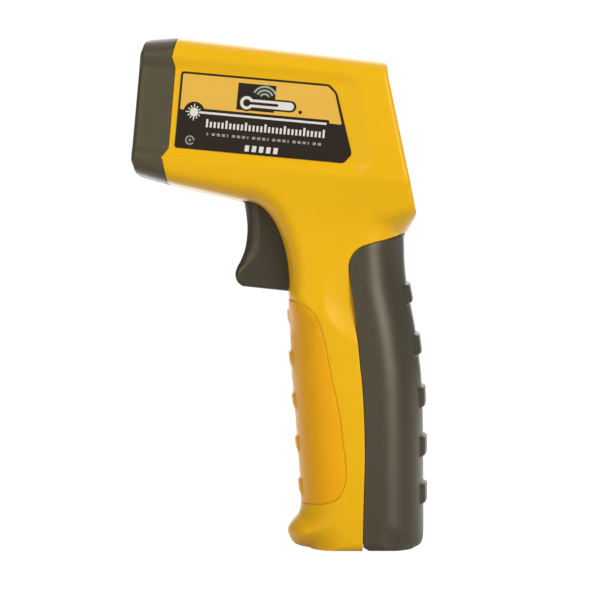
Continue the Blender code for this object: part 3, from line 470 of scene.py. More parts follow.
def through(rings):
    """Vertices and faces of the solid that runs through rings of equal length."""
    count, last = len(rings[0]), (len(rings) - 1) * len(rings[0])
    faces = [(low + k, low + (k + 1) % count, low + count + (k + 1) % count, low + count + k)
             for low in range(0, last, count) for k in range(count)]
    faces += [tuple(range(count)), tuple(range(last + count - 1, last - 1, -1))]
    return [p for ring in rings for p in ring], faces


def slab(name, outer, inner, faces):
    """A closed solid between two copies of the same faces."""
    count = len(outer)
    back = [tuple(count + i for i in (f[0], *f[:0:-1])) for f in faces]
    rim = [(b, a, count + a, count + b) for a, b in open_edges(faces)]
    return link(name, outer + inner, faces + back + rim)


def build_skin(name, sheet, pick, free_edge, height, half=None):
    """A closed shell over the picked triangles of a sheet.

    The two sides are joined by a strip wherever the triangles end on the free
    edge; everywhere else the shell ends in a rim at a seam."""
    flat, faces = sheet
    faces = [f for f, wanted in zip(faces, pick) if wanted]
    used = sorted({i for f in faces for i in f})
    index = {old: new for new, old in enumerate(used)}
    flat = flat[used]
    faces = [tuple(index[i] for i in f) for f in faces]
    high = height(flat)
    rim = open_edges(faces)
    ring = np.array(free_edge + free_edge[:1])
    near_edge = nearest(ring, flat)[0] < 2e-3
    strip = [(a, b) for a, b in rim if near_edge[a] and near_edge[b]
             and nearest(ring, (flat[a:a + 1] + flat[b:b + 1]) / 2)[0][0] < 2e-3]
    verts, quads, place = [], [], {}
    sides = (half,) if half else (-1, 1)
    for side in sides:
        place[side] = len(verts)
        verts += [(x, side * h, z) for (x, z), h in zip(flat, high)]
        quads += [tuple(place[side] + i for i in f[::-side]) for f in faces]

    def levels(h):
        lips = [v * min(1.0, 0.25 * h / 0.5) for v in (0.5, 0.25, 0.12, SEAMS["middle"][0])]
        body = [h * f for f in (0.88, 0.74, 0.6, 0.45, 0.3)]
        return body + (lips if half else [0.0])

    columns = {}
    for i in sorted({i for pair in strip for i in pair}):
        x, z = flat[i]
        ys = levels(high[i])
        ys = [half * y for y in ys] if half else [-y for y in ys] + ys[-2::-1]
        columns[i] = [place[sides[0]] + i, *range(len(verts), len(verts) + len(ys))]
        columns[i] += [] if half else [place[1] + i]
        verts += [(x, y, z) for y in ys]
    for a, b in strip:
        for j in range(len(columns[a]) - 1):
            quad = (columns[b][j], columns[a][j], columns[a][j + 1], columns[b][j + 1])
            quads.append(quad[::-(half or -1)])
    made = link(name, verts, quads)
    edit(made, lambda work: bmesh.ops.remove_doubles(work, verts=work.verts, dist=1e-4))
    return made


def rows_of(items, key):
    values = np.zeros(len(items) * 3, np.float32)
    items.foreach_get(key, values)
    return values.reshape(-1, 3).astype(float)


def coordinates(mesh):
    return rows_of(mesh.vertices, "co")


def vertex_normals(mesh):
    return rows_of(mesh.vertex_normals, "vector")


def set_coordinates(mesh, co):
    mesh.vertices.foreach_set("co", np.asarray(co, np.float32).ravel())
    mesh.update()


def drop_lips(made, lines, half):
    """Rounds the shell's edges down into the seams beside the named lines."""
    mesh = made.data
    co, normals = coordinates(mesh), vertex_normals(mesh)
    fall = np.zeros(len(co))
    for name, line in lines.items():
        fall = np.maximum(fall, lip_drop(nearest(line, co[:, [0, 2]])[0], name))
    if half:
        fall = np.maximum(fall, lip_drop(np.abs(co[:, 1]), "middle"))
    set_coordinates(mesh, co - normals * fall[:, None])


def finish_piece(made, replaced, finish, body="housing", angle=38):
    """Scales a piece into the frame, shades it, colours it and hangs it on its body."""
    mesh = made.data
    set_coordinates(mesh, to_frame(coordinates(mesh)))
    for one in finish if isinstance(finish, (list, tuple)) else [finish]:
        mesh.materials.append(one)
    mesh.shade_smooth()
    mesh.set_sharp_from_angle(angle=math.radians(angle))
    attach(made, body)
    if replaced:
        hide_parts(*replaced)
    return made


# ---- materials
def feed(tree, made, inputs):
    """Links the inputs that are sockets, and sets the rest as values."""
    for key, value in inputs.items():
        if isinstance(value, bpy.types.NodeSocket):
            tree.links.new(value, made.inputs[key])
        else:
            made.inputs[key].default_value = value


def node(tree, kind, inputs, **settings):
    made = tree.nodes.new("ShaderNode" + kind)
    for key, value in settings.items():
        setattr(made, key, value)
    feed(tree, made, inputs)
    return made


def new_material(name):
    """A material, its tree, its shader and the object coordinates."""
    made = bpy.data.materials.new(name)
    made.use_nodes = True
    tree = made.node_tree
    return made, tree, tree.nodes["Principled BSDF"], node(tree, "TexCoord", {}).outputs["Object"]


def noise(tree, scale, detail, vector):
    inputs = {"Scale": scale, "Detail": detail, "Vector": vector}
    return node(tree, "TexNoise", inputs).outputs["Fac"]


def mapped(tree, value, low, high, start=0.3, end=0.7):
    inputs = {"From Min": start, "From Max": end, "To Min": low, "To Max": high, "Value": value}
    return node(tree, "MapRange", inputs).outputs["Result"]


def mixed(tree, factor, first, second):
    inputs = {"A": (*first, 1), "B": (*second, 1), "Factor": factor}
    return node(tree, "Mix", inputs, data_type="RGBA").outputs["Result"]


def moulded(name, colour, shade, rough, grain=3600.0, bump=0.12, specular=0.5, coat=0.0,
            tint=(1, 1, 1), metallic=0.0):
    """Moulded plastic or rubber: a little uneven in colour and gloss, with the fine
    spark-eroded grain of a mould and a wider orange-peel under it."""
    made, tree, shader, where = new_material(name)
    cloud, speck = noise(tree, 55.0, 3.0, where), noise(tree, 900.0, 2.0, where)
    tone = node(tree, "Math", {0: speck, 1: 0.35, 2: mapped(tree, cloud, 0.0, 0.65)},
                operation="MULTIPLY_ADD").outputs[0]
    fine = node(tree, "Bump", {"Strength": bump, "Distance": 0.00006,
                               "Height": noise(tree, grain, 3.0, where)}).outputs["Normal"]
    peel = node(tree, "Bump", {"Strength": 0.05, "Distance": 0.0001, "Normal": fine,
                               "Height": noise(tree, 420.0, 1.0, where)}).outputs["Normal"]
    feed(tree, shader, {"Base Color": mixed(tree, tone, colour, shade),
                        "Roughness": mapped(tree, speck, rough - 0.02, rough + 0.02),
                        "Normal": peel, "Specular IOR Level": specular, "Coat Weight": coat,
                        "Coat Roughness": 0.25, "Specular Tint": (*tint, 1),
                        "Metallic": metallic})
    return made


def clear(name, colour, rough, transmission=1.0, ior=1.49):
    """Clear or milky plastic with faint swirls in its polish."""
    made, tree, shader, where = new_material(name)
    swirl = noise(tree, 300.0, 4.0, where)
    feed(tree, shader, {"Base Color": (*colour, 1), "IOR": ior,
                        "Transmission Weight": transmission,
                        "Roughness": mapped(tree, swirl, rough, rough + 0.03)})
    return made


def banded(name, stops, rough, metallic, low, high):
    """A printed can: bands of colour up the object's z between two levels."""
    made, tree, shader, where = new_material(name)
    level = node(tree, "SeparateXYZ", {"Vector": where}).outputs["Z"]
    ramp = node(tree, "ValToRGB", {"Fac": mapped(tree, level, 0, 1, low, high)})
    ramp.color_ramp.interpolation = "CONSTANT"
    while len(ramp.color_ramp.elements) < len(stops):
        ramp.color_ramp.elements.new(0.5)
    for element, (place, colour) in zip(ramp.color_ramp.elements, stops):
        element.position = place
        element.color = (*colour, 1)
    scuff = noise(tree, 700.0, 4.0, where)
    feed(tree, shader, {"Base Color": ramp.outputs["Color"], "Metallic": metallic,
                        "Roughness": mapped(tree, scuff, rough, rough + 0.12)})
    return made


AMBER, OLIVE = (1.0, 0.77, 0.48), (1.0, 0.92, 0.74)     # tints of the plastics' reflections
YELLOW = moulded("moulded_yellow", (0.83, 0.460, 0.002), (0.80, 0.435, 0.002), 0.31,
                 specular=0.42, tint=AMBER)
# The housing's own tongue under the seams, coloured darker and redder than the housing: painted
# shade in the seams' gaps.
SEAM_SHADE_TONGUE = moulded("tongue_painted_shade", (0.70, 0.30, 0.004), (0.66, 0.27, 0.004), 0.6, tint=AMBER)
DOOR_YELLOW = moulded("moulded_door", (0.86, 0.405, 0.002), (0.83, 0.38, 0.002), 0.33,
                      specular=0.32, tint=AMBER)
CHARCOAL = moulded("moulded_charcoal", (0.068, 0.059, 0.034), (0.062, 0.054, 0.030), 0.40,
                   tint=OLIVE)
RUBBER = moulded("grip_rubber", (0.047, 0.040, 0.024), (0.042, 0.036, 0.021), 0.36, grain=2600.0,
                 bump=0.18, specular=0.68, tint=OLIVE)
TRIGGER = moulded("moulded_trigger", (0.042, 0.037, 0.023), (0.038, 0.033, 0.020), 0.30, tint=OLIVE)
BLACK = moulded("black_plastic_satin", (0.022, 0.022, 0.022), (0.03, 0.03, 0.029), 0.36)
KEYS = moulded("key_rubber_grey", (0.10, 0.10, 0.10), (0.12, 0.12, 0.118), 0.55)
KEY_MAIN = moulded("key_rubber_orange", (0.62, 0.25, 0.02), (0.56, 0.22, 0.02), 0.5)
PRINT = [moulded(f"ink_{name}", colour, shade, rough, grain=1500.0, bump=0.03, specular=0.2)
         for name, colour, shade, rough in (
             ("black", (0.017, 0.011, 0.006), (0.019, 0.013, 0.007), 0.4),
             ("orange", (0.77, 0.455, 0.065), (0.745, 0.43, 0.06), 0.35),
             ("white", (0.71, 0.69, 0.63), (0.68, 0.66, 0.61), 0.35),
             ("grey", (0.33, 0.32, 0.27), (0.30, 0.29, 0.25), 0.35),
             ("sage", (0.36, 0.40, 0.34), (0.34, 0.38, 0.32), 0.35))]
STEEL = moulded("plated_steel", (0.62, 0.62, 0.63), (0.52, 0.52, 0.53), 0.26, metallic=1.0)
BRASS = moulded("turned_brass", (0.78, 0.56, 0.22), (0.66, 0.46, 0.18), 0.3, metallic=1.0)
ALUMINIUM = moulded("turned_aluminium", (0.72, 0.72, 0.73), (0.64, 0.64, 0.65), 0.34, metallic=1.0)
BOARD = moulded("solder_mask", (0.012, 0.12, 0.045), (0.02, 0.16, 0.06), 0.3, coat=0.4)
RED_LEAD = moulded("lead_insulation_red", (0.5, 0.012, 0.01), (0.42, 0.01, 0.008), 0.4)
BLACK_LEAD = moulded("lead_insulation_black", (0.018, 0.018, 0.018), (0.03, 0.03, 0.03), 0.4)
LCD_FACE = moulded("lcd_face", (0.37, 0.42, 0.33), (0.35, 0.40, 0.31), 0.3, grain=900.0, bump=0.02)
LCD_INK = moulded("lcd_segments", (0.022, 0.026, 0.024), (0.03, 0.034, 0.03), 0.3)
WINDOW = clear("clear_window_plastic", (0.96, 0.98, 0.97), 0.03)
LENS = clear("milky_lens_plastic", (0.86, 0.87, 0.84), 0.22, transmission=0.35, ior=1.52)
BATTERY_CAN = banded("battery_print", [(0.0, (0.03, 0.03, 0.035)), (0.62, (0.75, 0.42, 0.12)),
                                       (0.9, (0.5, 0.5, 0.52))], 0.3, 0.7,
                     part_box("battery")[0].z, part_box("battery")[1].z)


# ---- the outside shells
def outside_sheet():
    seams = {"nose": straight_line(NOSE_SEAM, 0.9), "door": smooth_line(DOOR_SEAM, 0.9),
             "grip": smooth_line(GRIP_SEAM, 0.9)}
    lines = [straight_line(NOTCH, 0.5)]
    for name, line in seams.items():
        lines += seam_rows(line, name)
    inner = fillet(shrink(PAD_OUTER, PAD_RAMPS[0]), 0.3, 1)
    for path in (PAD_OUTER + PAD_OUTER[:1], inner + inner[:1]):
        lines += [shifted(straight_line(path, 1.2), away) for away in (-0.25, 0.25)]
    dish = arc(SCOOP_CENTRE, (SCOOP_RADIUS, SCOOP_RADIUS), 150, 290, 35)
    dish = [p for p, hit in zip(dish, inside(GRIP_AREA, dish)) if not hit]
    lines += [shifted(dish, 0.15), shifted(dish, -0.15)]
    lines = [[tuple(p) for p in line if -72.0 < p[0] < 26.0] for line in lines]
    edge = side_outline()
    rows = (0.04, 0.14, 0.32, 0.6, 1.0, 1.5, 2.2, 3.1)
    return edge, triangulate(edge, rows, [line for line in lines if len(line) > 1], SPACING), seams


def shrink(polygon, distance):
    """The closed polygon moved inward along its mitres."""
    ring = np.array(polygon, float)
    n0, n1 = left_of(ring - np.roll(ring, 1, axis=0)), left_of(np.roll(ring, -1, axis=0) - ring)
    mean = n0 + n1
    mean /= np.linalg.norm(mean, axis=1)[:, None]
    reach = distance / np.maximum((mean * n1).sum(1), 0.5)
    return [tuple(p) for p in ring + winding(ring) * mean * reach[:, None]]


edge, sheet, seams = outside_sheet()
flat, triangles = sheet
centres = np.array([flat[list(f)].mean(0) for f in triangles])
away_from = {name: nearest(line, centres)[0] for name, line in seams.items()}
gap = np.any([away_from[name] < SEAMS[name][0] - 0.003 for name in seams], axis=0)
in_nose, in_door, in_grip = (inside(seams[name] + CORNERS[name], centres) & ~gap
                             for name in ("nose", "door", "grip"))
in_house = ~(in_nose | in_door | in_grip | gap)
in_grip &= ~inside(NOTCH_AREA, centres)
in_flange = np.min(list(away_from.values()), axis=0) < TONGUE_REACH - 0.02
in_flange &= centres[:, 1] > 2.2
in_flange &= (centres[:, 0] > -4.6) | (centres[:, 1] > 19.0)    # room for the door's foot


def region_shell(name, pick, half=None):
    made = build_skin(name, sheet, pick, edge, body_height, half)
    outward(made)
    drop_lips(made, seams, half)
    thicken(made, SKIN)
    co = coordinates(made.data)
    co[:, 2] = np.maximum(co[:, 2], BASE_Z)
    top = body_height(co[:, [0, 2]])
    out = (nearest(edge + edge[:1], co[:, [0, 2]])[0] > 1.0) & (np.abs(co[:, 1]) > top + 0.01)
    co[out, 1] = (np.sign(co[:, 1]) * (top - SKIN))[out]    # the inner wall stays inside
    if half:
        spur = (co[:, 2] < NOTCH[0][1]) & (co[:, 0] > SEAM_FOOT) & (co[:, 0] < NOTCH[1][0])
        co[spur, 0] = SEAM_FOOT
    set_coordinates(made.data, co)
    outward(made)
    return made


def flange(name, half):
    """The tongue that the housing carries under every seam."""
    made = build_skin(name, sheet, in_flange, edge, body_height, half)
    mesh = made.data
    set_coordinates(mesh, coordinates(mesh) - (SKIN + FLANGE_SINK) * vertex_normals(mesh))
    thicken(made, FLANGE_SKIN)
    outward(made)
    return made


# ---- local frames
C7, S7 = math.cos(BARREL_TILT), math.sin(BARREL_TILT)
CR, SR = math.cos(REAR_TILT), math.sin(REAR_TILT)
ACROSS = Vector((0, 1, 0))


def frame_of(origin, x_axis, y_axis, z_axis):
    return Matrix.Translation(origin) @ Matrix((x_axis, y_axis, z_axis)).transposed().to_4x4()


def barrel(up):
    """Frame on the nose face: local z runs back along the barrel."""
    back, rise = Vector((C7, 0, -S7)), Vector((S7, 0, C7))
    return frame_of(NOSE_FACE + up * rise, ACROSS, rise, back)


def rear(up, aside=0.0):
    """Frame on the display end: local x is across, y up, z outward."""
    out, rise = Vector((CR, 0, SR)), Vector((-SR, 0, CR))
    return frame_of(REAR_FACE + up * rise + aside * ACROSS, ACROSS, rise, out)


def across(x, z):
    return frame_of((x, 0, z), Vector((0, 0, 1)), Vector((1, 0, 0)), ACROSS)


def lathe(name, place, profile, sides=48):
    """A turned solid from a closed list of (radius, height) about place's z axis."""
    verts, rings, faces = [], [], []
    for radius, height in profile:
        around = disc(0, 0, radius, sides) if radius else [(0, 0)]
        rings.append([len(verts) + k % len(around) for k in range(sides)])
        verts += [place @ Vector((*p, height)) for p in around]
    for first, second in zip(rings, rings[1:] + rings[:1]):
        if len({*first, *second}) > 2:
            faces += [tuple(dict.fromkeys([first[k - 1], first[k], second[k], second[k - 1]]))
                      for k in range(sides)]
    return outward(link(name, verts, faces))


def rounded_ring(half_a, half_b, radius, corner=6):
    made = []
    for ca, cb, start in ((1, 1, 0), (-1, 1, 90), (-1, -1, 180), (1, -1, 270)):
        made += arc((ca * (half_a - radius), cb * (half_b - radius)), (radius, radius),
                    start, start + 90, corner)
    return made


def stacked(name, place, half_a, half_b, radius, layers, corner=6):
    """A rounded block built up from layers (inset, height) with rounded corners."""
    rings = [[place @ Vector((a, b, height)) for a, b in
              rounded_ring(half_a - inset, half_b - inset, max(radius - inset, 0.15), corner)]
             for inset, height in layers]
    return outward(link(name, *through(rings)))


def round_layers(low, high, radius, steps=4):
    """Layers with both edges rounded."""
    round_off = (radius, radius)
    return (arc((radius, low + radius), round_off, -90, -180, steps)
            + arc((radius, high - radius), round_off, 180, 90, steps))


def prism(name, polygon, low, high):
    """A side-view polygon carried along y."""
    return outward(link(name, *through([[(x, y, z) for x, z in polygon] for y in (low, high)])))


def tube_along(name, path, radius, sides=10):
    """A closed tube along a path of drawing points."""
    path = [Vector(p) for p in path]
    rings, side = [], Vector((0, 1, 0.01))
    for i, here in enumerate(path):
        along = (path[min(i + 1, len(path) - 1)] - path[max(i - 1, 0)]).normalized()
        side = (side - along * side.dot(along)).normalized()
        other = along.cross(side)
        rings.append([here + a * side + b * other for a, b in disc(0, 0, radius, sides)])
    return outward(link(name, *through(rings)))


# ---- raised bars
def bar_patch(name, at, top, bottom, reach, height, slant, soft_top, soft_bottom):
    """A raised bar across a rounded edge of the grip.

    at(z, s) gives the surface point and its outward normal at level z and share s
    from -1 to 1 round the edge.  The bar's ends drop by slant."""
    across_steps, up_steps = 40, 14
    outer, inner = [], []
    for i in range(across_steps + 1):
        s = reach * (2 * i / across_steps - 1)
        lower = slant * abs(s / reach) ** 1.2
        side = smoothstep((1 - abs(s) / reach) / 0.3)
        for j in range(up_steps + 1):
            t = 0.5 - 0.5 * math.cos(math.pi * j / up_steps)
            z = bottom + (top - bottom) * t - lower
            rise = min(smoothstep((top - lower - z) / soft_top),
                       smoothstep((z - bottom + lower) / soft_bottom))
            place, normal = at(z, s)
            outer.append(place + normal * (height * float(rise * side) - BAR_SUNK))
            inner.append(place - normal * BAR_ROOT)
    wide = up_steps + 1
    faces = [(a, a + 1, a + wide + 1, a + wide) for i in range(across_steps)
             for a in range(i * wide, i * wide + up_steps)]
    return outward(slab(name, outer, inner, faces))


def edge_surface(curve, sign):
    """Surface of the fully rounded grip edge as a function of level and share."""
    xs, zs = np.array(sorted(curve, key=lambda p: p[1])).T

    def place(z, s):
        x = float(np.interp(z, zs, xs))
        angle = abs(s) * math.pi / 2
        y = math.copysign(0.4 + EDGE_DEPTH * math.sin(angle), s) if s else 0.0
        return Vector((x - sign * EDGE_RUN * (1 - math.cos(angle)),
                       y * min(1.0, abs(s) / 0.02), z))

    def at(z, s):
        here = place(z, s)
        up = place(z + 0.4, s) - place(z - 0.4, s)
        side = place(z, min(s + 0.02, 1)) - place(z, max(s - 0.02, -1))
        normal = up.cross(side).normalized()
        if normal.x * sign < 0:
            normal = -normal
        return here, normal
    return at


# ---- the big pieces
def nose_cap():
    made = region_shell("nose_shell", in_nose)
    mouth = [(0, -6), (LENS_MOUTH, -6), (LENS_MOUTH, 0.2), (LENS_MOUTH - 1.3, 2.4),
             (LENS_MOUTH - 1.3, 12), (0, 12)]
    port = [(0, -6), (LASER_MOUTH, -6), (LASER_MOUTH, 0.3), (LASER_MOUTH - 0.7, 1.2),
            (LASER_MOUTH - 0.7, 12), (0, 12)]
    boolean(made, [lathe("t", barrel(LENS_W), mouth), lathe("t", barrel(LASER_W), port, 32)])
    finish_piece(made, ["nose_cap"], CHARCOAL)
    hood = [(LENS_MOUTH - 1.45, 1.5), (LENS_MOUTH - 0.4, 1.2), (LENS_MOUTH + 1.2, 1.9),
            (LENS_MOUTH + 1.2, 3.1), (LENS_MOUTH - 1.9, 3.1), (LENS_MOUTH - 1.9, 2.3)]
    made = lathe("lens_hood", barrel(LENS_W), hood, 64)
    finish_piece(made, [], BLACK)


def housing():
    slot = [(-40, 78.6), (-21.0, 78.6), (-17.4, 79.2), (-17.4, 96.0), (-22.0, 112.6),
            (-34.6, 112.6), (-35.5, 110.0), (-35.5, 104.0), (-40, 104.0)]
    for name, replaced, half in (("housing_shell_left", "housing_left", -1),
                                 ("housing_shell_right", "housing_right", 1)):
        made = region_shell(name, in_house, half)
        opening = stacked("t", rear(FRAME_UP), 17.8, 19.0, 3.0, [(0, -6), (0, -0.45), (-0.5, 0.3)])
        tools = [opening, prism("t", slot, -SLOT_HALF, SLOT_HALF)]
        if half > 0:
            tools += [lathe("t", across(x, z), [(0, 5), (2.6, 5), (2.6, 40), (0, 40)], 32)
                      for x, z in SCREWS]
        boolean(made, tools)
        finish_piece(made, [replaced], YELLOW)
        tongue = flange(f"{name}_tongue", half)
        boolean(tongue, [prism("t", slot, -SLOT_HALF, SLOT_HALF)])
        # the tongue's darker, redder colour is painted shade in the seams' gaps
        finish_piece(tongue, [], SEAM_SHADE_TONGUE)


def battery_door():
    made = region_shell("door_shell", in_door)
    at = edge_surface(FRONT_CURVE, -1)
    middles = [FRONT_BAR_FIRST + FRONT_BAR_PITCH * k for k in range(5)]
    bars = [bar_patch(f"t{k}", at, top=middle + 2.9, bottom=middle - 3.3, reach=0.26, height=0.7,
                      slant=0.4, soft_top=1.0, soft_bottom=3.0)
            for k, middle in enumerate(middles)]
    boolean(made, bars, "UNION")
    finish_piece(made, ["battery_door"], DOOR_YELLOW, "battery_door")


def rear_grip():
    made = region_shell("grip_shell", in_grip)
    at = edge_surface(BACK_CURVE, 1)
    bars = [bar_patch(f"t{k}", at, top=top + 0.3, bottom=bottom + 0.1, reach=0.325, height=1.2,
                      slant=1.5, soft_top=0.8, soft_bottom=0.9)
            for k, (top, bottom) in enumerate(BACK_BARS)]
    boolean(made, bars, "UNION")
    finish_piece(made, ["rear_grip"], RUBBER)


# ---- trigger
TRIGGER_FRONT = [(-35.6, 80.2), (-37.1, 81.5), (-37.75, 83.5), (-37.3, 85.8), (-36.0, 88.4),
                 (-34.7, 92.1), (-34.1, 97.0), (-34.35, 101.5), (-35.1, 106.3)]
TRIGGER_EYE = [(-34.3, 110.0), (-32.0, 112.3), (-29.5, 112.9), (-26.8, 111.8), (-25.4, 109.2)]
TRIGGER_BACK = [(-22.6, 104.0), (-20.4, 97.5), (-19.3, 91.6), (-18.8, 86.0), (-18.9, 81.0),
                (-19.2, 79.0), (-21.4, 78.7)]
TRIGGER_CREASE = [(-37.0, 83.0), (-36.2, 84.3), (-35.2, 85.4), (-34.0, 86.8), (-32.2, 89.0),
                  (-31.0, 91.4), (-30.4, 94.2), (-30.3, 98.0), (-30.9, 103.0), (-31.8, 107.5)]


def trigger():
    front = smooth_line(TRIGGER_FRONT, 0.6)
    crease = smooth_line(TRIGGER_CREASE, 0.6)
    base = straight_line([TRIGGER_BACK[-1], TRIGGER_FRONT[0]], 0.8)
    outline = (front + smooth_line(TRIGGER_EYE, 0.8) + smooth_line(TRIGGER_BACK, 0.8)[:-1]
               + base[:-1])
    behind = crease + [(-31.8, 120.0), (0.0, 120.0), (0.0, 70.0), (-45.0, 70.0), (-45.0, 83.0)]
    groups = [np.array([(x, z, 1.4, 1.4) for x, z in base + front[1:]]),
              np.array([(x, z, 0.5, 0.5) for x, z in TRIGGER_BACK])]

    def height(points):
        """Flat sides, and a front band that falls away from the crease."""
        taper = 0.45 * np.clip((points[:, 1] - 80) / 26, 0, 1)
        beside = nearest(crease, points)[0]
        band = np.where(inside(behind, points), 0.0, beside)
        low = smoothstep((points[:, 1] - 83.2) / 4.5)
        fall = low * (1.5 * np.clip(band / 3.2, 0, 1) ** 1.6 + 0.12 * soft_ramp(band, 0.4, 0.1))
        ridge = 0.2 * low * np.exp(-(beside / 0.45) ** 2) * smoothstep((101 - points[:, 1]) / 14)
        return TRIGGER_HALF - 0.2 - taper - fall + ridge - rounding(groups, points)

    rows = []
    for away in (-0.8, -0.4, 0.0, 0.4, 0.8):
        line = shifted(crease, away)
        clear_of_edge = nearest(outline + outline[:1], line)[0] > 0.6
        rows.append([tuple(p) for p in line[clear_of_edge & inside(outline, line)]])
    flat_sheet = triangulate(outline, (0.05, 0.18, 0.4, 0.75, 1.2, 1.8), rows, 0.8)
    made = build_skin("trigger_blade", flat_sheet, [True] * len(flat_sheet[1]), outline, height)
    outward(made)
    finish_piece(made, ["trigger"], TRIGGER, "trigger", 70)


# ---- label
LABEL_ORIGIN, LABEL_TILT = (-55.7, 121.8), math.radians(-5.4)
FILM_EDGE = [(0.0, 0.0), (51.0, -0.1), (53.2, 2.8), (47.1, 20.7), (44.6, 23.05), (0.0, 23.0)]
LABEL_THICKNESS, LABEL_GAP = 0.22, 0.02      # the gap lies between the film and the pad


def on_label(u, v):
    c, s = math.cos(LABEL_TILT), math.sin(LABEL_TILT)
    return (LABEL_ORIGIN[0] + u * c - v * s, LABEL_ORIGIN[1] + u * s + v * c)


def bar(u0, v0, u1, v1, lean=0.0):
    return [(u0, v0), (u1, v0), (u1 + lean, v1), (u0 + lean, v1)]


def capsule(u0, u1, v, r):
    return arc((u0, v), (r, r), 90, 270, 9) + arc((u1, v), (r, r), -90, 90, 9)


def arc_band(u, v, r0, r1, start, end, steps=11):
    return arc((u, v), (r1, r1), start, end, steps) + arc((u, v), (r0, r0), end, start, steps)


BLACK_INK, ORANGE_INK, WHITE_INK, GREY_INK, SAGE_INK = range(5)     # in the order of PRINT


def label_inks():
    """The print, from the lowest layer up: (polygon on the label, ink)."""
    star = (4.9, 11.1)
    inks = [(fillet([(0.62, 11.6), (49.35, 11.35), (46.5, 20.4), (44.25, 22.4), (0.6, 22.38)],
                    0.5), ORANGE_INK),
            (disc(*star, 3.15, 40), BLACK_INK),
            (fillet(bar(6.0, 10.0, 45.6, 12.35), 0.6), BLACK_INK),
            (bar(6.5, 10.85, 44.8, 11.5), WHITE_INK), (disc(*star, 1.3, 24), WHITE_INK)]
    for k in range(12):
        a = math.radians(30 * k)
        ray = Vector((math.cos(a), math.sin(a)))
        side = Vector((-ray.y, ray.x)) * 0.2
        near, far = ray * 1.45, ray * (2.15 if k % 3 else 2.55)
        spike = (near - side, far - side * 0.6, far + side * 0.6, near + side)
        inks.append(([tuple(p + Vector(star)) for p in spike], WHITE_INK))
    inks += [(bar(17.4, 13.0, 28.8, 21.1), BLACK_INK), (capsule(20.3, 33.6, 15.3, 1.75), BLACK_INK),
             (disc(20.4, 15.3, 2.55), BLACK_INK), (capsule(21.0, 33.4, 15.3, 1.2), WHITE_INK),
             (disc(20.4, 15.3, 2.0), WHITE_INK), (capsule(21.2, 29.5, 15.3, 0.42), BLACK_INK),
             (disc(20.4, 15.3, 1.1), BLACK_INK)]
    inks += [(arc_band(25.6, 17.0, r, r + 0.55, 25, 155), SAGE_INK) for r in (1.1, 2.2, 3.3)]
    inks.append((disc(36.6, 13.9, 0.55, 16), BLACK_INK))
    for k in range(31):
        u = 8.8 + 1.17 * k
        inks.append((bar(u, 6.9, u + 0.62, 8.65 if k % 5 else 9.35), WHITE_INK))
    for k in range(23):
        u = 9.3 + 1.52 * k
        inks.append((bar(u, 4.5, u + (0.95 if k % 4 else 0.4), 5.3), GREY_INK))
    inks += [(bar(21.0 + 2.15 * k, 0.75, 22.3 + 2.15 * k, 2.6, 0.15), WHITE_INK)
             for k in range(5)]
    return inks + [(arc_band(4.4, 2.6, 1.0, 1.4, 0, 330, 23), GREY_INK),
                   (disc(4.4, 2.6, 0.4, 14), GREY_INK)]


def label(name, replaced, side):
    outline = [on_label(*p) for p in fillet(FILM_EDGE, 0.9, 5)]
    points, constraints = list(outline), []
    inks = [([on_label(*p) for p in polygon], ink) for polygon, ink in label_inks()]
    for polygon, _ in inks:
        first, count = len(points), len(polygon)
        points += polygon
        constraints += [(first + i, first + (i + 1) % count) for i in range(count)]
    flat_points, faces = triangles_of(points, constraints, len(outline))
    middles = np.array([flat_points[list(f)].mean(0) for f in faces])
    ink_of = np.full(len(faces), BLACK_INK)
    for polygon, ink in inks:
        ink_of[inside(polygon, middles)] = ink
    floor = half_width(flat_points) - PAD_DEPTH
    film, back = ([(x, side * (h + lift), z) for (x, z), h in zip(flat_points, floor)]
                  for lift in (LABEL_THICKNESS, LABEL_GAP))
    piece = slab(name, film, back, [f[::-side] for f in faces])
    for polygon, ink in zip(piece.data.polygons, ink_of):
        polygon.material_index = int(ink)
    finish_piece(piece, [replaced], PRINT, angle=30)


# ---- display and the keys
DISPLAY_UP, BUTTON_UP, FRAME_UP = 6.4, -11.4, -0.3      # middles on the display end
KEYPAD = (("button_left", -10.2, KEYS, "key_rubber"), ("button_mode", 0.0, KEY_MAIN, "key_accent"),
          ("button_right", 10.2, KEYS, "key_rubber"))
SEGMENTS = {"2": "abged", "3": "abgcd", "6": "afgecd"}


def display():
    bezel = stacked("display_frame", rear(FRAME_UP), 17.5, 18.7, 2.7,
                    [(0, -2.1), (0, -0.75), (0.1, -0.5), (0.35, -0.4)])
    hole = stacked("t", rear(DISPLAY_UP), 14.0, 9.0, 1.2,
                   [(0, -5), (0, -0.75), (-0.45, -0.3), (-0.6, 2)])
    wells = [stacked("t", rear(BUTTON_UP, aside), 3.9, 2.9, 1.9,
                     [(0, -5), (0, -0.7), (-0.4, -0.3), (-0.5, 2)]) for _, aside, _, _ in KEYPAD]
    boolean(bezel, [hole, *wells])
    finish_piece(bezel, ["display_bezel"], BLACK)
    window = stacked("display_window", rear(DISPLAY_UP), 13.7, 8.7, 1.0,
                     round_layers(-1.8, -0.75, 0.25))
    finish_piece(window, ["lcd_window"], WINDOW)
    for name, aside, finish, slot in KEYPAD:
        dome = [(-0.9, -3.4), (-0.9, -2.9), (0.0, -2.6), (0.0, -0.5), (0.12, -0.22),
                (0.4, -0.08), (0.8, -0.05), (1.3, -0.13), (1.9, -0.19)]
        key = stacked(f"{name}_cap", rear(BUTTON_UP, aside), 3.6, 2.6, 1.6, dome)
        finish_piece(key, [name], finish, name)
    digits()


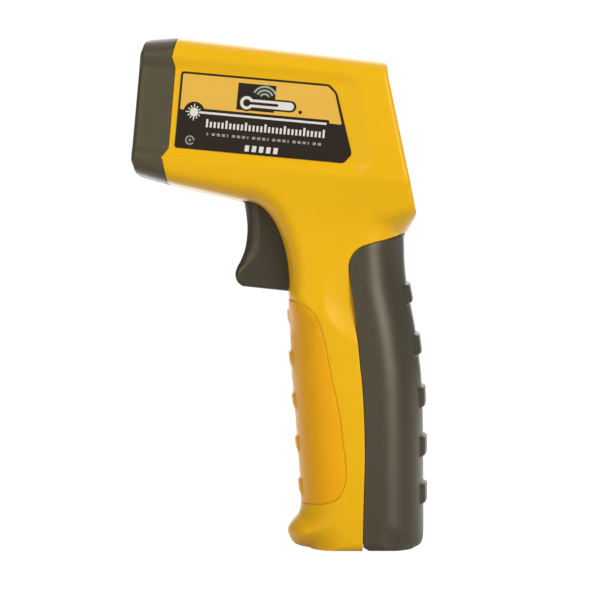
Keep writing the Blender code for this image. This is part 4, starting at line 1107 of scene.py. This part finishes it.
def digits():
    """Seven-segment figures and small marks lying on the liquid crystal panel."""
    place, level, skin = rear(DISPLAY_UP), -2.38, 0.08
    tall, wide, thick, lean, trim = 4.2, 4.3, 0.8, 0.12, 0.5
    spots = {"a": (0, tall, wide, tall), "g": (0, 0, wide, 0), "d": (0, -tall, wide, -tall),
             "f": (0, 0, 0, tall), "b": (wide, 0, wide, tall), "e": (0, -tall, 0, 0),
             "c": (wide, -tall, wide, 0)}
    shapes = []
    for index, figure in enumerate("236"):
        left = -9.6 + 6.2 * index
        for x0, y0, x1, y1 in (spots[segment] for segment in SEGMENTS[figure]):
            along, aside = Vector((1, 0)), Vector((0, thick / 2))
            if y0 != y1:
                along, aside = Vector((0, 1)), Vector((thick / 2, 0))
            a = Vector((left + x0 + lean * y0, y0)) + along * trim
            b = Vector((left + x1 + lean * y1, y1)) - along * trim
            tip = (b - a).normalized() * 0.38
            shapes.append([a - tip * 0.6, a - aside + tip * 0.4, b - aside - tip * 0.4,
                           b + tip * 0.6, b + aside - tip * 0.4, a + aside + tip * 0.4])
    shapes += [bar(2.4, -4.6, 3.3, -3.7), disc(10.2, 3.6, 0.95, 20)]
    shapes += [bar(8.4 + 1.5 * k, -6.6, 9.4 + 1.5 * k, -5.9) for k in range(3)]
    shapes += [bar(-11.6 + 1.3 * k, -6.6, -10.9 + 1.3 * k, -5.9) for k in range(8)]
    verts, faces = [], []
    for shape in shapes:
        more, around = through([[place @ Vector((p[0], p[1], height)) for p in shape]
                                for height in (level, level + skin)])
        faces += [tuple(len(verts) + i for i in f) for f in around]
        verts += more
    made = outward(link("display_figures", verts, faces))
    finish_piece(made, [], LCD_INK)


# ---- small hardware
def optics():
    grooves = [(0, 4.9)]
    for k in range(1, 9):
        grooves += [(0.8 * k - 0.05, 4.9 + 0.035 * k), (0.8 * k, 4.78 + 0.045 * k)]
    grooves += [(6.9, 5.5), (8.8, 5.6), (8.8, 6.85), (0, 6.85)]
    ring = [(6.9, 3.8), (7.1, 3.5), (8.6, 3.5), (8.9, 3.8), (8.9, 5.1), (7.5, 5.1), (7.2, 4.6)]
    pane = [(0, 0.75), (1.9, 0.7), (2.15, 0.85), (2.15, 1.5), (0, 1.55)]
    for name, up, profile, sides, replaced, slot, finish in (
            ("infrared_lens", LENS_W, grooves, 72, "ir_lens", "lens_plastic", LENS),
            ("lens_ring", LENS_W, ring, 72, "lens_retaining_ring", "black_plastic", BLACK),
            ("laser_pane", LASER_W, pane, 40, "laser_window", "clear_window", WINDOW)):
        finish_piece(lathe(name, barrel(up), profile, sides), [replaced], finish)


def screws():
    for number, (x, z) in enumerate(SCREWS, 1):
        seat = float(body_height(np.array([(x, z)]))[0]) - SCREW_SUNK
        place = across(x, z)
        profile = [(0, -8.4), (0.4, -8.4), (1.1, -7.2), (1.1, seat - 0.2), (1.25, seat),
                   (2.1, seat), (2.15, seat + 0.9), (2.0, seat + 1.3), (1.5, seat + 1.65),
                   (0, seat + 1.8)]
        made = lathe(f"screw_{number}", place, profile, 32)
        boolean(made, [stacked("t", place @ Matrix.Rotation(math.radians(turn), 4, "Z"), 1.35,
                               0.26, 0.2, [(0.5, seat + 0.5), (0, seat + 3)], 2)
                       for turn in (35, 125)])
        finish_piece(made, [f"housing_screw_{number}"], STEEL)
        well = [(2.62, seat - 0.3), (3.4, seat - 0.3), (3.4, seat + 1.9), (2.62, seat + 1.9)]
        made = lathe(f"screw_well_{number}", place, well, 40)
        finish_piece(made, [], YELLOW)


def spring():
    turns, per, radius, level, start, end = 5, 20, 2.0, 91.6, -18.6, -12.0
    path = []
    for k in range(turns * per + 1):
        angle = 2 * math.pi * k / per
        share = k / (turns * per)
        share = smoothstep(share) * 0.25 + share * 0.75
        path.append((start + (end - start) * share, radius * math.cos(angle),
                     level + radius * math.sin(angle)))
    made = tube_along("return_spring", path, 0.27, 8)
    finish_piece(made, ["trigger_spring"], STEEL)
    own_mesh(made)


def inner_finishes():
    """Materials of the CAD pieces that keep their own shape."""
    chosen = {"lens_tube": ALUMINIUM, "thermopile_sensor": STEEL, "sensor_board": BOARD,
              "laser_module": BRASS, "lcd_module": LCD_FACE, "keypad_mat": KEYS,
              "main_board": BOARD, "main_chip": BLACK, "buzzer": BLACK, "battery": BATTERY_CAN,
              "battery_tray": BLACK, "battery_snap": BLACK, "battery_lead_red": RED_LEAD,
              "battery_lead_black": BLACK_LEAD, "trigger_switch": BLACK, "switch_board": BOARD,
              "switch_plunger": KEY_MAIN, "trigger_pin": STEEL, "battery_door_pin": STEEL}
    for name, finish in chosen.items():
        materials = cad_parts[name].data.materials
        materials.clear()
        materials.append(finish)


# ---- stage and camera
WORLD_LIGHT, BACK_LIGHT, WORLD_SEEN = 0.24, 2.7, 1.05
FLOOR_SEEN, FLOOR_MIRRORED = 0.92, (0.05, 1.3)      # the second in front of and behind the object
LIGHTS = [("key", (0.85, -1.15, 0.62), (0.75, 1.1), 14.7, (1, 1, 1)),
          ("fill", (-0.9, -1.3, 0.45), (1.6, 1.4), 7.4, (1.0, 0.92, 0.82)),
          ("glint", (-0.80, -1.1, 0.72), (0.3, 0.3), 2.0, (1, 1, 1)),
          ("top", (0.0, 0.1, 1.6), (1.4, 1.0), 3.0, (1, 1, 1))]


def floor_material():
    """Pale paper that the camera sees white, mirrored darker in front of the object."""
    white, tree, shader, where = new_material("stage_white")
    ray = node(tree, "LightPath", {}).outputs
    level = node(tree, "SeparateXYZ", {"Vector": where}).outputs["Y"]
    glow = node(tree, "Math", {0: ray["Is Glossy Ray"],
                               1: mapped(tree, level, *FLOOR_MIRRORED, -0.05, 0.25)},
                operation="MULTIPLY").outputs[0]
    seen = node(tree, "Math", {0: ray["Is Camera Ray"], 1: FLOOR_SEEN, 2: glow},
                operation="MULTIPLY_ADD").outputs[0]
    paper = noise(tree, 40.0, 3.0, where)
    feed(tree, shader, {"Base Color": mixed(tree, paper, (0.60, 0.60, 0.60), (0.64, 0.64, 0.64)),
                        "Roughness": 0.8, "Specular IOR Level": 0.1,
                        "Emission Color": (1, 1, 1, 1), "Emission Strength": seen})
    return white


def studio_world():
    """A white surround, brightest in a wide panel behind the object."""
    world = bpy.data.worlds.new("studio")
    bpy.context.scene.world = world
    world.use_nodes = True
    tree = world.node_tree
    tree.nodes.clear()
    where = node(tree, "TexCoord", {}).outputs["Generated"]
    squeezed = node(tree, "VectorMath", {0: where, 1: (1.9, 1.0, 0.6)}, operation="MULTIPLY")
    unit = node(tree, "VectorMath", {0: squeezed.outputs["Vector"]}, operation="NORMALIZE")
    behind = Vector((0.0, 1.0, 0.2)).normalized()
    towards = node(tree, "VectorMath", {0: unit.outputs["Vector"], 1: behind},
                   operation="DOT_PRODUCT")
    glow = mapped(tree, towards.outputs["Value"], WORLD_LIGHT, BACK_LIGHT, 0.70, 0.92)
    lit, seen = (node(tree, "Background", {"Color": (1, 1, 1, 1), "Strength": strength})
                 for strength in (glow, WORLD_SEEN))
    camera_ray = node(tree, "LightPath", {}).outputs["Is Camera Ray"]
    mix = node(tree, "MixShader", {"Fac": camera_ray, 1: lit.outputs[0], 2: seen.outputs[0]})
    node(tree, "OutputWorld", {"Surface": mix.outputs[0]})


def stage():
    bpy.ops.mesh.primitive_circle_add(vertices=96, radius=1.7, fill_type="NGON",
                                      location=(0, 0, -0.0003))
    floor = bpy.context.object
    floor.name = "studio_floor"
    floor.data.materials.append(floor_material())
    studio_world()
    for name, spot, size, power, colour in LIGHTS:
        lamp = bpy.data.lights.new(name, "AREA")
        lamp.shape = "RECTANGLE"
        lamp.size, lamp.size_y = size
        lamp.energy, lamp.color = power, colour
        made = placed(name, lamp)
        made.location = spot
        aim = Vector((0, 0, 0.08)) - Vector(spot)
        made.rotation_euler = aim.to_track_quat("-Z", "Y").to_euler()


def camera():
    """Level with the middle of the object and square to its left side."""
    lens = bpy.data.cameras.new("camera")
    lens.sensor_width, lens.lens, lens.clip_start = 36.0, 156.4, 0.01
    made = placed("camera", lens)
    made.location = (0.0058, -0.8, (76.0 - BASE_Z) * MM)
    made.rotation_euler = (math.pi / 2, 0, 0)
    bpy.context.scene.camera = made


bpy.context.scene.view_settings.view_transform = "Standard"
nose_cap()
housing()
battery_door()
rear_grip()
trigger()
label("label_film_left", "label_left", -1)
label("label_film_right", "label_right", 1)
display()
optics()
screws()
spring()
inner_finishes()
stage()
camera()
